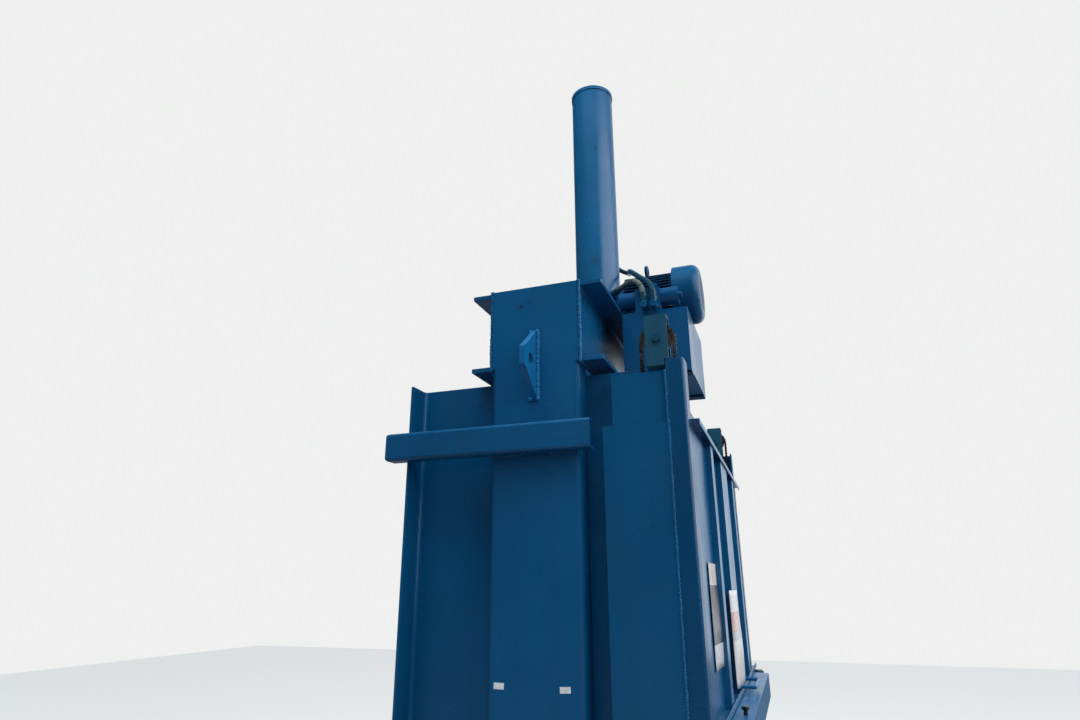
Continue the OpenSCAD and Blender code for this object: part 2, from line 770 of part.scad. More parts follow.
module lock_bar() color(paint) difference() {
    union() {
        translate([-bar_x - bar_w / 2, bar_y - bar_d, keeper_zs[0] - 20])
            cube([bar_w, bar_d, bar_top - keeper_zs[0] + 20]);
        for (z = keeper_zs) {
            translate([-keeper_x - 12, bar_y - bar_d, z + finger_z + finger_l])
                cube([keeper_x - bar_x + bar_w / 2 - 12, bar_d, arm_h]);
            translate([-keeper_x - 12, bar_y - bar_d, z + finger_z]) cube([24, bar_d, finger_l + 1]);
        }
    }
    translate([-bar_x - cam_pin / 2 - 1, bar_y - bar_d - 1, pivot_z + cam_rise - cam_pin / 2 - slot_play])
        cube([cam_pin + cam_drift + 2, bar_d + 2, cam_pin + 2 * slot_play]);
}

// Lock lever: hub on the door's pivot, a cam arm behind and the handle in front
lever_y = door_y - beam - 26;
lever_t = 14;
hub_play = 0.3;
module door_lever() color(dark) translate([-pivot_x, 0, pivot_z]) rotate([0, lever_swing, 0]) difference() {
    union() {
        along_y(0, lever_y, 0) cylinder(d = pivot_d + 26, h = door_y - 12 - hub_play - lever_y);
        translate([0, lever_y, -14]) cube([lever_l, lever_t, 28]);
        translate([lever_l, lever_y + lever_t, 0]) rotate([90, 0, 0]) cylinder(r = 14, h = lever_t);
        along_y(lever_l - 14, lever_y - 90, 0) cylinder(d = 26, h = 90);
        translate([-cam_r, bar_y - bar_d - 16, -14]) cube([cam_r, 14, 28]);
        along_y(-cam_r, bar_y - bar_d - 16, 0) cylinder(r = 14, h = 14);
        along_y(-cam_r, bar_y - bar_d - 4, 0) cylinder(d = cam_pin, h = bar_d + 2);
    }
    along_y(0, lever_y - 1, 0) cylinder(d = pivot_d + 2 * run_gap, h = 2 * beam);
}

// Cylinder: barrel with a bolted flange under the seat, gland, rod and piston
flange_z = head_z - seat_t - flange_t;
cap_t = 24;
cap_z = barrel_top - cap_t;
port_z = 2705;
port_turn = 215;
boss_z = 2965;
boss_turn = 275;
top_port_z = cap_z - 70;
pipe_turn = -25;
pipe_d = 22;
pipe_r = barrel_d / 2 + 36;

module port(turn, z, l) translate([0, 0, z]) rotate(turn) translate([barrel_d / 2 - 6, 0, 0])
    rotate([0, 90, 0]) cylinder(d = 42, h = l + 6);

module cylinder_barrel() color(paint_lit) {
    difference() {
        union() {
            translate([0, 0, flange_z]) cylinder(d = barrel_d, h = cap_z - flange_z);
            translate([0, 0, flange_z]) cylinder(d = flange_d, h = flange_t);
            translate([0, 0, cap_z]) cylinder(d = barrel_d + 7, h = cap_t - 5);
            translate([0, 0, barrel_top - 5]) cylinder(d = barrel_d - 4, h = 5);
            port(port_turn, port_z, 22);
            port(boss_turn, boss_z, 8);
            port(pipe_turn, top_port_z, 22);
        }
        translate([0, 0, flange_z - 1]) cylinder(d = bore_d, h = cap_z - flange_z + 1);
        translate([0, 0, flange_z - 1]) bolt_ring(bolt_r, bolt_d + 1, flange_t + 2, flange_bolts);
    }
}

gland_h = 60;
module cylinder_gland() color(steel) difference() {
    union() {
        translate([0, 0, flange_z - 14]) cylinder(d = barrel_d, h = 14);
        translate([0, 0, flange_z]) cylinder(d = bore_d, h = gland_h);
    }
    translate([0, 0, flange_z - 20]) cylinder(d = rod_d + 2 * run_gap, h = gland_h + 30);
}

module cylinder_bolts() color(steel) {
    translate([0, 0, flange_z]) bolt_ring(bolt_r, bolt_d, flange_t + seat_t, flange_bolts);
    translate([0, 0, flange_z - 15]) for (i = [0:flange_bolts - 1]) rotate(360 / flange_bolts * (i + 0.5))
        translate([bolt_r, 0, 0]) cylinder(d = bolt_d * 1.7, h = 15, $fn = 6);
}

// Rigid pipe up the far side of the barrel to the port under its cap
pipe_low = 3320;
module pressure_pipe() color(paint) rotate(pipe_turn) {
    translate([pipe_r, 0, pipe_low]) cylinder(d = pipe_d, h = top_port_z - pipe_low);
    translate([pipe_r, 0, top_port_z]) sphere(d = pipe_d);
    translate([barrel_d / 2 + 22, 0, top_port_z]) rotate([0, 90, 0]) cylinder(d = pipe_d, h = pipe_r - barrel_d / 2 - 22);
    translate([pipe_r, 0, pipe_low - 24]) cylinder(d = 34, h = 24);
    for (z = [pipe_low + 60, (pipe_low + top_port_z) / 2, top_port_z - 120])
        translate([barrel_d / 2, -12, z]) cube([pipe_r - barrel_d / 2, 24, 20]);
}

platen_h = 200;
platen_plate = 16;
rod_plate_w = 280;
rod_plate_t = 20;
rod_bolt_x = 110;
rod_boss_d = 200;
rod_low = platen_z + platen_h;
piston_h = 110;
piston_top = cap_z - 20;

module piston_rod() color("#c9ccd0") translate([0, 0, rod_low])
    cylinder(d = rod_d, h = piston_top - piston_h - rod_low);

module piston() color(steel) translate([0, 0, piston_top - piston_h]) difference() {
    cylinder(d = bore_d - 2 * run_gap, h = piston_h);
    for (z = [20, piston_h - 34]) translate([0, 0, z]) difference() {
        cylinder(d = bore_d + 10, h = 8);
        translate([0, 0, -1]) cylinder(d = bore_d - 12, h = 10);
    }
}

// Platen: ribbed under-plate, cross channels, four cheeks and the rod's flange
platen_x = inner_x - platen_gap;
platen_front = post_rear + 8;
platen_rear = rear_in - wire_rib_d - 8;
platen_bar = 110;
groove_d = 30;

module platen() color(paint) {
    difference() {
        translate([-platen_x, platen_front, platen_z])
            cube([2 * platen_x, platen_rear - platen_front, platen_plate + groove_d]);
        for (x = spread(wire_ribs, wire_span))
            translate([x - wire_rib_w / 2 - 2, platen_front - 1, platen_z - 1])
                cube([16, platen_rear - platen_front + 2, groove_d + 1]);
    }
    for (y = [platen_front + 40, -60, platen_rear - 100])
        translate([-platen_x + 20, y, platen_z + platen_plate + groove_d]) rotate([90, 0, 90])
            linear_extrude(2 * platen_x - 40) rolled_channel(platen_bar, 60, 8, 10, 8);
    for (x = [-platen_x, platen_x - 16], y = [platen_front, platen_rear - 120])
        translate([x, y, platen_z + platen_plate + groove_d]) cube([16, 120, platen_bar]);
    difference() {
        translate([-rod_plate_w / 2, -rod_plate_w / 2, platen_z + platen_plate + groove_d + platen_bar])
            cube([rod_plate_w, rod_plate_w, rod_plate_t]);
        for (x = [-rod_bolt_x, rod_bolt_x], y = [-rod_bolt_x, rod_bolt_x])
            translate([x, y, platen_z + platen_plate + groove_d + platen_bar - 1])
                cylinder(d = 22, h = rod_plate_t + 2);
    }
    translate([0, 0, platen_z + platen_plate + groove_d + platen_bar + rod_plate_t])
        cylinder(d = rod_boss_d, h = platen_h - platen_plate - groove_d - platen_bar - rod_plate_t);
}

// Oil tank: folded box with a turned lip at its foot, on two angles
support_t = 6;
support_w = 50;
tank_z = head_z + channel_flange + support_t;
tank_rear = -channel_back - channel_b - 5;
tank_top = tank_z + tank_h;
tank_end = tank_x + tank_l;

module oil_tank() color(paint) {
    difference() {
        translate([tank_x, tank_front, tank_z]) cube([tank_l, tank_rear - tank_front, tank_h]);
        translate([tank_x + 4, tank_front + 4, tank_z + 4])
            cube([tank_l - 8, tank_rear - tank_front - 8, tank_h - 12]);
    }
    translate([tank_end, tank_front + 30, tank_z + 40]) rotate([0, 90, 0]) cylinder(d = 26, h = 8);
}

module filler_cap() color(dark) translate([tank_end - 45, tank_rear - 50, tank_top]) {
    cylinder(d = 46, h = 8);
    translate([0, 0, 8]) cylinder(d = 40, h = 26);
    translate([0, 0, 34]) cylinder(d = 56, h = 14);
}

support_xs = [tank_x + 10, tank_end - 10 - support_w];
support_tip = skin_back + 3;
leg_tip = support_tip + 90;
module tank_supports() color(paint) for (x = support_xs) {
    translate([x, support_tip, tank_z - support_t])
        cube([support_w, -channel_back - channel_web - channel_r - support_tip, support_t]);
    translate([x, leg_tip, tank_z - support_w])
        cube([support_t, -channel_back - channel_b - 1 - leg_tip, support_w]);
}

// Motor: finned body with end shields, feet and a lifting eye
motor_x = tank_x + tank_l / 2;
motor_z = tank_top + motor_h;
motor_y0 = cowl_front + cowl_l;
motor_y1 = motor_y0 + motor_l;
core_r = fin_r * 0.82;
shield_t = 14;
cowl_t = 2;
fins = floor(core_r / fin_pitch);

module fin_profile() {
    circle(core_r);
    intersection() {
        circle(fin_r);
        union() for (i = [-fins:fins]) translate([-fin_r, i * fin_pitch - 2]) square([2 * fin_r, 4]);
    }
}

module motor_body() color(paint) difference() {
    union() {
        along_y(motor_x, motor_y0, motor_z) linear_extrude(motor_l) fin_profile();
        for (y = [motor_y0, motor_y1 - shield_t])
            along_y(motor_x, y, motor_z) cylinder(r = fin_r - 4, h = shield_t);
        along_y(motor_x, motor_y0 - 10, motor_z) cylinder(r = cowl_r - cowl_t, h = 10);
        for (x = [-108, 68]) translate([motor_x + x, motor_y0 + 40, tank_top]) cube([40, 140, 14]);
        for (x = [-92, 78]) translate([motor_x + x, motor_y0 + 45, tank_top]) cube([14, 130, motor_h - 60]);
        translate([motor_x + core_r - 10, motor_y0 + 50, motor_z + 10]) cube([55, 100, 70]);
        translate([motor_x, motor_y0 + 115, motor_z + core_r - 4]) cylinder(d = 24, h = fin_r - core_r + 8);
        along_y(motor_x, motor_y0 + 109, motor_z + fin_r + 28) difference() {
            cylinder(r = 27, h = 12);
            translate([0, 0, -1]) cylinder(r = 15, h = 14);
        }
    }
    along_y(motor_x, motor_y0 - 11, motor_z) cylinder(d = shaft_d + 2 * run_gap, h = motor_l + 12);
}

// Fan cowl: pressed shell with a rounded front and a slotted grille
cowl_round = 34;
module cowl_form(r, l, round) rotate_extrude() {
    square([r - round, l]);
    square([r, l - round]);
    translate([r - round, l - round]) circle(round);
}

module fan_cowl() color(paint_lit) difference() {
    translate([motor_x, motor_y0, motor_z]) rotate([90, 0, 0]) difference() {
        cowl_form(cowl_r, cowl_l, cowl_round);
        translate([0, 0, -1]) cowl_form(cowl_r - cowl_t, cowl_l - cowl_t + 1, cowl_round - cowl_t);
    }
    for (i = [-6:6]) translate([motor_x - 70 * cos(i * 9), cowl_front - 5, motor_z + i * 11 - 2.5])
        cube([140 * cos(i * 9), 20, 5]);
}

// Rotor: shaft through the motor with the fan at one end, the pump's at the other
fan_r = 100;
fan_y = motor_y0 - 60;
pump_gap = 24;
module motor_rotor() color(steel) {
    along_y(motor_x, fan_y - 8, motor_z) cylinder(d = shaft_d, h = motor_y1 - fan_y + 8 + pump_gap - 1);
    along_y(motor_x, fan_y + 20, motor_z) cylinder(r = fan_r, h = 3);
    along_y(motor_x, fan_y - 4, motor_z) cylinder(d = 60, h = 26);
    for (i = [0:6]) translate([motor_x, fan_y + 20, motor_z]) rotate([0, 360 / 7 * i, 0])
        translate([28, -26, -2]) cube([fan_r - 32, 27, 4]);
}

// Gear pump on the motor's rear end, with its pressure port on the near side
pump_port_x = motor_x - 50;
pump_port_z = motor_z + 18;
pump_y = motor_y1 + pump_gap + 35;
module pump_body() {
    along_y(motor_x, motor_y1, motor_z) difference() {
        cylinder(r = 66, h = pump_gap);
        translate([0, 0, -1]) cylinder(d = shaft_d + 14, h = pump_gap + 2);
    }
    translate([motor_x - 42, motor_y1 + pump_gap, motor_z - 50]) cube([84, 70, 100]);
    along_x(pump_port_x - 36, pump_y, pump_port_z) cylinder(d = 26, h = 48);
    translate([pump_port_x - 24, pump_y, pump_port_z]) rotate([0, 90, 225]) cylinder(d = 26, h = 24);
}

module hydraulic_pump() color(paint) pump_body();

// Valve gear at the tank's near end
valve_x = tank_x + 36;
valve_y0 = -405;
valve_y1 = -306;
block_h = 34;
valve_z = tank_top + block_h;
valve_w = 70;
coil_r = 36;
coil_z = valve_z + coil_r - 6;
elbow_x = valve_x - valve_w / 2 - 26;
elbow_ys = [-383, -345];
elbow_z = tank_top + block_h / 2;
far_elbow_x = valve_x + valve_w / 2 + 16;
far_elbow_y = -350;

module valve_block() color(paint) {
    translate([valve_x - valve_w / 2, valve_y0, tank_top]) cube([valve_w, valve_y1 - valve_y0, block_h]);
    for (y = elbow_ys) {
        along_x(elbow_x - 12, y, elbow_z) cylinder(d = 26, h = valve_x - valve_w / 2 - elbow_x + 13);
        translate([elbow_x, y, elbow_z]) cylinder(d = 26, h = 16);
    }
    along_x(valve_x + valve_w / 2 - 1, far_elbow_y, elbow_z) cylinder(d = 26, h = 29);
    along_y(far_elbow_x, far_elbow_y, elbow_z) cylinder(d = 26, h = 18);
}

module solenoid_valve() color(paint) difference() {
    union() {
        translate([valve_x - valve_w / 2, valve_y0, valve_z]) cube([valve_w, valve_y1 - valve_y0, 62]);
        along_y(valve_x, valve_y1, coil_z) cylinder(r = coil_r, h = 66);
        along_y(valve_x, valve_y1 + 66, coil_z) cylinder(r = 12, h = 10);
        along_y(valve_x, valve_y0 - 66, coil_z) cylinder(r = coil_r, h = 66);
        along_y(valve_x, valve_y0 - 80, coil_z) cylinder(r = 15, h = 14, $fn = 6);
        translate([valve_x - 6, valve_y0 + 15, valve_z + 61]) cube([28, 30, 35]);
        translate([valve_x - 14, valve_y0 + 62, valve_z + 61]) cube([28, 24, 23]);
    }
    for (x = [-1, 1], y = [12, valve_y1 - valve_y0 - 12])
        translate([valve_x + x * 26, valve_y0 + y, valve_z + 50]) cylinder(d = 8, h = 20);
}

// A hose is a tube swept along its own points
hose_sides = 10;
function unit(v) = v / norm(v);
function tangent(p, i) = unit(p[min(i + 1, len(p) - 1)] - p[max(i - 1, 0)]);
function ring(c, t, r) = let (u = unit(cross(t, [1, -1, 1])), v = cross(t, u))
    [for (k = [0:hose_sides - 1]) c + r * (u * cos(360 / hose_sides * k) + v * sin(360 / hose_sides * k))];

module hose(p, r) {
    n = len(p);
    m = hose_sides;
    polyhedron(points = [for (i = [0:n - 1]) each ring(p[i], tangent(p, i), r)],
        faces = concat([[for (k = [0:m - 1]) k]], [[for (k = [m - 1:-1:0]) (n - 1) * m + k]],
            [for (i = [0:n - 2], k = [0:m - 1])
                [i * m + k, (i + 1) * m + k, (i + 1) * m + (k + 1) % m, i * m + (k + 1) % m]]));
}

// Route of the hose that drives the platen down
down_points = [[132.3, -61.7, 3295.7], [132, -62, 3251], [129, -66, 3217], [121, -79, 3187],
    [108, -100, 3163], [93, -122, 3144], [70, -145, 3122], [38, -157, 3103], [-29, -171, 3072],
    [-96, -184, 3041], [-163, -198, 3010], [-231, -211, 2979], [-298, -225, 2949], [-365, -239, 2918],
    [-433, -252, 2887], [-464, -260, 2870], [-493, -272, 2852], [-518, -287, 2831], [-571, -324, 2782],
    [-624, -361, 2733], [-641, -373, 2711], [-651, -380, 2685], [-655, -383, 2656], [-655, -383, 2643]];
// Route of the hose from the pump to the valve block
pump_points = [[-506.2, -196.2, 2762.5], [-523, -213, 2762.5], [-543, -233, 2762.5], [-563, -253, 2762.5],
    [-581, -271, 2762], [-593, -283, 2760], [-604, -294, 2757], [-615, -305, 2750.5], [-625, -315, 2742],
    [-634, -324, 2731], [-641.5, -331.5, 2718.5], [-647.5, -337.5, 2704], [-651.5, -341.5, 2689],
    [-654, -344, 2673], [-655, -345, 2658], [-655, -345, 2643]];
// Route of the hose that lifts the platen
up_points = [[-108.4, -75.9, 2705], [-136, -95, 2705], [-167, -110, 2705], [-200, -116, 2703],
    [-257, -116, 2700], [-314, -116, 2697], [-350, -116, 2696], [-386, -116, 2696], [-434, -116, 2697],
    [-467, -121, 2696], [-498, -135, 2691], [-522, -157, 2682], [-538, -185, 2671], [-543, -216, 2658],
    [-543, -267, 2637], [-543, -293, 2629], [-543, -319, 2626.5], [-543, -331.7, 2626.5]];

module hose_down() color(paint) hose(down_points, hose_d / 2);
module hose_pump() color("#5c7a70") hose(pump_points, hose_d / 2);
module hose_up() color(paint) hose(up_points, hose_d / 2);

// Control cabinet on the far side, facing front
cabinet_x = half_w;
cabinet_y = box_front;
lid_t = 14;

module control_cabinet() color("#3b4046") {
    difference() {
        translate([cabinet_x, cabinet_y, cabinet_z]) cube([cabinet_w, cabinet_d, cabinet_h]);
        translate([cabinet_x + cabinet_t, cabinet_y - 1, cabinet_z + cabinet_t])
            cube([cabinet_w - 2 * cabinet_t, cabinet_d - cabinet_t + 1, cabinet_h - 2 * cabinet_t]);
    }
    translate([cabinet_x + 30, cabinet_y + cabinet_d - cabinet_t - 3, cabinet_z + 30])
        cube([cabinet_w - 60, 3, cabinet_h - 60]);
}

button_x = cabinet_x + cabinet_w / 2;
stop_z = cabinet_z + cabinet_h * 0.42;
down_z = cabinet_z + cabinet_h * 0.62;
up_z = cabinet_z + cabinet_h * 0.78;
main_z = cabinet_z + cabinet_h * 0.2;
lid_y = cabinet_y - lid_t;
button_d = 22;
button_gap = 0.3;

module cabinet_door() color("#3b4046") difference() {
    union() {
        translate([cabinet_x + 1, lid_y, cabinet_z + 1]) cube([cabinet_w - 2, lid_t - seat_gap, cabinet_h - 2]);
        for (z = [stop_z, down_z, up_z, main_z]) along_y(button_x, lid_y - 3, z) cylinder(d = 34, h = 4);
    }
    translate([cabinet_x + 3, lid_y + 2, cabinet_z + 3]) cube([cabinet_w - 6, lid_t, cabinet_h - 6]);
    for (z = [stop_z, down_z, up_z, main_z])
        along_y(button_x, lid_y - 6, z) cylinder(d = button_d + 2 * button_gap, h = lid_t);
}

module button(z, head_d, head_l, stem) {
    along_y(button_x, lid_y - 3 - stem, z) cylinder(d = button_d, h = stem + 12);
    along_y(button_x, lid_y - 3 - stem - head_l, z) cylinder(d = head_d, h = head_l);
}

module emergency_stop() color("#b3201c") button(stop_z, 40, 14, 12);
module down_button() color("#2c8a3d") button(down_z, 26, 4, 6);
module up_button() color("#16181a") button(up_z, 26, 4, 6);
module isolator_switch() color("#b3201c") {
    along_y(button_x, lid_y - 11, main_z) cylinder(d = button_d, h = 20);
    along_y(button_x, lid_y - 17, main_z) cylinder(d = 46, h = 6);
    translate([button_x - 7, lid_y - 33, main_z - 24]) cube([14, 17, 48]);
}

base_frame();
floor_plate();
side_wall();  // side_wall_left
at_right() side_wall();  // side_wall_right
column();  // column_left
at_right() column();  // column_right
crosshead_channel();  // crosshead_front
mirror([0, 1, 0]) crosshead_channel();  // crosshead_rear
crosshead_seat();
rear_wall();
front_header();
front_sill();
guide_post_left();
guide_post_right();
side_rails();
lifting_lugs();
weight_box();  // weight_box_left
at_right() weight_box();  // weight_box_right
sprocket_bracket();  // sprocket_bracket_left
at_right() sprocket_bracket();  // sprocket_bracket_right
sprocket_axles();
sprocket();  // sprocket_left
at_right() sprocket();  // sprocket_right
chain();  // chain_left
at_right() chain();  // chain_right
counterweight();  // counterweight_left
at_right() counterweight();  // counterweight_right
feed_gate();
gate_handle();
gate_switch();
bale_door();
door_hinge_pins();
pull_pin();
lock_bar();
door_lever();
cylinder_barrel();
cylinder_gland();
cylinder_bolts();
pressure_pipe();
piston_rod();
piston();
platen();
oil_tank();
filler_cap();
tank_supports();
motor_body();
fan_cowl();
motor_rotor();
hydraulic_pump();
valve_block();
solenoid_valve();
hose_down();
hose_up();
hose_pump();
control_cabinet();
cabinet_door();
emergency_stop();
down_button();
up_button();
isolator_switch();
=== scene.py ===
"""Recycling baler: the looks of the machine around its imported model."""
import math
import random

import bpy
from mathutils import Matrix, Vector


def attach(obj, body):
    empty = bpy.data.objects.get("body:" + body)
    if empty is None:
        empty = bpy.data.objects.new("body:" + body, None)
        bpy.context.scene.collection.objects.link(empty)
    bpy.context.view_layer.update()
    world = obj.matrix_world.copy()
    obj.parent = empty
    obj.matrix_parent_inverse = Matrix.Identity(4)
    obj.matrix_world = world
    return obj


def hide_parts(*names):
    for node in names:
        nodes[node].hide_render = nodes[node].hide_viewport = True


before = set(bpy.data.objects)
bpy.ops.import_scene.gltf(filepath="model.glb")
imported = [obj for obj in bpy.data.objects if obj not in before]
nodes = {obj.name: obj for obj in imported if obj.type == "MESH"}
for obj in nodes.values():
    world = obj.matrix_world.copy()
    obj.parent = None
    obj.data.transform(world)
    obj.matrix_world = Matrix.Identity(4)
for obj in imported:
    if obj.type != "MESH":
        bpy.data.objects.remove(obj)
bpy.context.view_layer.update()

# Camera
# A wide lens at head height, to the left of the baler and a little in front of the gate.
# It looks up along the side column towards the crosshead.
camera_place = (-3.045, -0.774, 1.600)
camera_yaw = math.radians(19.71)
camera_pitch = math.radians(18.56)
camera_roll = math.radians(-0.24)
ahead = Vector((
    math.cos(camera_yaw) * math.cos(camera_pitch),
    math.sin(camera_yaw) * math.cos(camera_pitch),
    math.sin(camera_pitch),
))
level_right = Vector((math.sin(camera_yaw), -math.cos(camera_yaw), 0))
level_up = level_right.cross(ahead)
right = level_right * math.cos(camera_roll) + level_up * math.sin(camera_roll)
upward = level_up * math.cos(camera_roll) - level_right * math.sin(camera_roll)
camera_turn = Matrix((right, upward, -ahead)).transposed()

camera_data = bpy.data.cameras.new("camera")
camera_data.sensor_width = 36
camera_data.lens = 22.42
camera_data.clip_end = 60
camera = bpy.data.objects.new("camera", camera_data)
camera.matrix_world = Matrix.Translation(camera_place) @ camera_turn.to_4x4()
bpy.context.scene.collection.objects.link(camera)
bpy.context.scene.camera = camera

# Studio
# A pale floor, a pale world and soft lamps: one high in front, one overhead, and a tall strip
# whose reflection draws the bright lines on round and bent steel.
floor_size = 28
backdrop = (0.86, 0.87, 0.86, 1)
floor_throws = (0.22, 0.23, 0.25, 1)
bright_side = (0.96, -0.20, 0.18)


def soft_lamp(name, place, aim, size, watts, in_gloss=True):
    """A rectangular lamp turned to its aim, shown in reflections or not."""
    light = bpy.data.lights.new(name, "AREA")
    light.shape = "RECTANGLE"
    light.size, light.size_y = size
    light.energy = watts
    lamp = bpy.data.objects.new(name, light)
    lamp.location = place
    lamp.visible_glossy = in_gloss
    lamp.rotation_euler = (Vector(aim) - Vector(place)).to_track_quat("-Z", "Y").to_euler()
    bpy.context.scene.collection.objects.link(lamp)


def shader_node(tree, kind, feeds=None, **settings):
    """One shader node with its settings; each feed is a plain value or another node's socket."""
    made = tree.nodes.new("ShaderNode" + kind)
    for setting, value in settings.items():
        setattr(made, setting, value)
    for socket, feed in (feeds or {}).items():
        if isinstance(feed, bpy.types.NodeSocket):
            tree.links.new(feed, made.inputs[socket])
        else:
            made.inputs[socket].default_value = feed
    return made


def between(tree, value, low, high, to_low=0.0, to_high=1.0):
    """A value stretched from one range to another."""
    feeds = {"Value": value, "From Min": low, "From Max": high, "To Min": to_low, "To Max": to_high}
    return shader_node(tree, "MapRange", feeds).outputs[0]


def either(tree, share, first, second):
    """The second shader where the share is 1, and otherwise the first."""
    return shader_node(tree, "MixShader", {0: share, 1: first, 2: second}).outputs[0]


def new_look(name):
    """A new material with its node tree and its shader."""
    look = bpy.data.materials.new(name)
    look.use_nodes = True
    return look, look.node_tree, look.node_tree.nodes["Principled BSDF"]


soft_lamp("lamp_front", place=(-1.5, -6.5, 5.5), aim=(0, -0.4, 1.8), size=(9.0, 6.0), watts=430)
soft_lamp("lamp_top", place=(-1.9, 0.2, 7.2), aim=(-0.6, 0, 2.0), size=(4.0, 4.0), watts=300,
          in_gloss=False)
soft_lamp("lamp_strip", place=(2.9, -4.7, 4.3), aim=(0, -0.1, 3.2), size=(0.22, 4.5), watts=26)

bpy.ops.object.select_all(action="DESELECT")
bpy.ops.mesh.primitive_plane_add(size=floor_size, location=(0, 0, 0))
floor = bpy.context.object
floor.name = "studio_floor"

floor_look, tree, shader = new_look("pale_floor")
shader.inputs["Roughness"].default_value = 0.75
shader.inputs["Specular IOR Level"].default_value = 0.2
speckle = shader_node(tree, "TexNoise", {"Scale": 3})
ramp = shader_node(tree, "ValToRGB", {"Fac": speckle.outputs["Fac"]})
ramp.color_ramp.elements[0].color = (0.37, 0.365, 0.355, 1)
ramp.color_ramp.elements[1].color = (0.42, 0.415, 0.405, 1)
tree.links.new(ramp.outputs["Color"], shader.inputs["Base Color"])
# The camera sees the floor as pale as the backdrop, and the light that it throws is dimmer.
glow = shader_node(tree, "Emission", {"Color": backdrop, "Strength": 0.58})
seen = shader_node(tree, "AddShader", {0: shader.outputs["BSDF"], 1: glow.outputs["Emission"]})
dim = shader_node(tree, "BsdfDiffuse", {"Color": floor_throws})
path = shader_node(tree, "LightPath").outputs
looked_at = shader_node(
    tree, "Math", {0: path["Is Camera Ray"], 1: path["Is Transmission Ray"]}, operation="MAXIMUM")
floor_surface = either(
    tree, looked_at.outputs["Value"], dim.outputs["BSDF"], seen.outputs["Shader"])
tree.links.new(floor_surface, tree.nodes["Material Output"].inputs["Surface"])
floor.data.materials.append(floor_look)

world = bpy.data.worlds.new("studio")
world.use_nodes = True
bpy.context.scene.world = world
tree = world.node_tree
tree.nodes.clear()
towards = shader_node(tree, "TexCoord").outputs["Generated"]
# The upper half gives more light than the lower.
height = shader_node(tree, "SeparateXYZ", {"Vector": towards}).outputs["Z"]
light_strength = between(tree, height, -0.1, 0.9, 0.12, 0.85)
light_part = shader_node(
    tree, "Background", {"Color": (0.80, 0.90, 1.0, 1), "Strength": light_strength})
# Gloss shows a bright side beyond the far column and a dim one everywhere else.
facing = shader_node(
    tree, "VectorMath", {0: towards, 1: bright_side}, operation="DOT_PRODUCT").outputs["Value"]
gloss_strength = between(tree, facing, 0.55, 0.98, 0.03, 1.0)
gloss_part = shader_node(
    tree, "Background", {"Color": (0.82, 0.92, 1.0, 1), "Strength": gloss_strength})
seen_part = shader_node(tree, "Background", {"Color": backdrop, "Strength": 1.0})
path = shader_node(tree, "LightPath").outputs
unseen = either(tree, path["Is Glossy Ray"], light_part.outputs[0], gloss_part.outputs[0])
surround = either(tree, path["Is Camera Ray"], unseen, seen_part.outputs[0])
shader_node(tree, "OutputWorld", {"Surface": surround})
bpy.context.scene.view_settings.view_transform = "Standard"

# Hoses
# Three steel-braided rubber hoses between the valve block, the pump and the cylinder.
# Two are painted over with the machine, and the pump's hose keeps its grey-green cover.
hose_diameter = 0.022
millimetre = 0.001
down_route = [
    (132.3, -61.7, 3295.7), (132, -62, 3251), (129, -66, 3217), (121, -79, 3187),
    (108, -100, 3163), (93, -122, 3144), (70, -145, 3122), (38, -157, 3103),
    (-29, -171, 3072), (-96, -184, 3041), (-163, -198, 3010), (-231, -211, 2979),
    (-298, -225, 2949), (-365, -239, 2918), (-433, -252, 2887), (-464, -260, 2870),
    (-493, -272, 2852), (-518, -287, 2831), (-571, -324, 2782), (-624, -361, 2733),
    (-641, -373, 2711), (-651, -380, 2685), (-655, -383, 2656), (-655, -383, 2643),
]
pump_route = [
    (-506.2, -196.2, 2762.5), (-523, -213, 2762.5), (-543, -233, 2762.5), (-563, -253, 2762.5),
    (-581, -271, 2762), (-593, -283, 2760), (-604, -294, 2757), (-615, -305, 2750.5),
    (-625, -315, 2742), (-634, -324, 2731), (-641.5, -331.5, 2718.5), (-647.5, -337.5, 2704),
    (-651.5, -341.5, 2689), (-654, -344, 2673), (-655, -345, 2658), (-655, -345, 2643),
]
up_route = [
    (-108.4, -75.9, 2705), (-136, -95, 2705), (-167, -110, 2705), (-200, -116, 2703),
    (-257, -116, 2700), (-314, -116, 2697), (-350, -116, 2696), (-386, -116, 2696),
    (-434, -116, 2697), (-467, -121, 2696), (-498, -135, 2691), (-522, -157, 2682),
    (-538, -185, 2671), (-543, -216, 2658), (-543, -267, 2637), (-543, -293, 2629),
    (-543, -319, 2626.5), (-543, -331.7, 2626.5),
]
teal_paint = (0.003, 0.045, 0.085, 1)
teal_rubber = (0.012, 0.055, 0.065, 1)
thin_paint = (0.025, 0.070, 0.090, 1)
green_rubber = (0.095, 0.125, 0.105, 1)


def tint(tree, share, under, over):
    """One colour laid over another by a share."""
    return shader_node(tree, "Mix", {0: share, 6: under, 7: over}, data_type="RGBA").outputs[2]


def cloud(tree, place, scale, detail, stretch=(1, 1, 1), turn=(0, 0, 0)):
    """Noise on the object's own coordinates, stretched along an axis."""
    mapped = shader_node(tree, "Mapping", {"Vector": place, "Scale": stretch, "Rotation": turn})
    feeds = {"Vector": mapped.outputs[0], "Scale": scale, "Detail": detail}
    return shader_node(tree, "TexNoise", feeds).outputs[0]


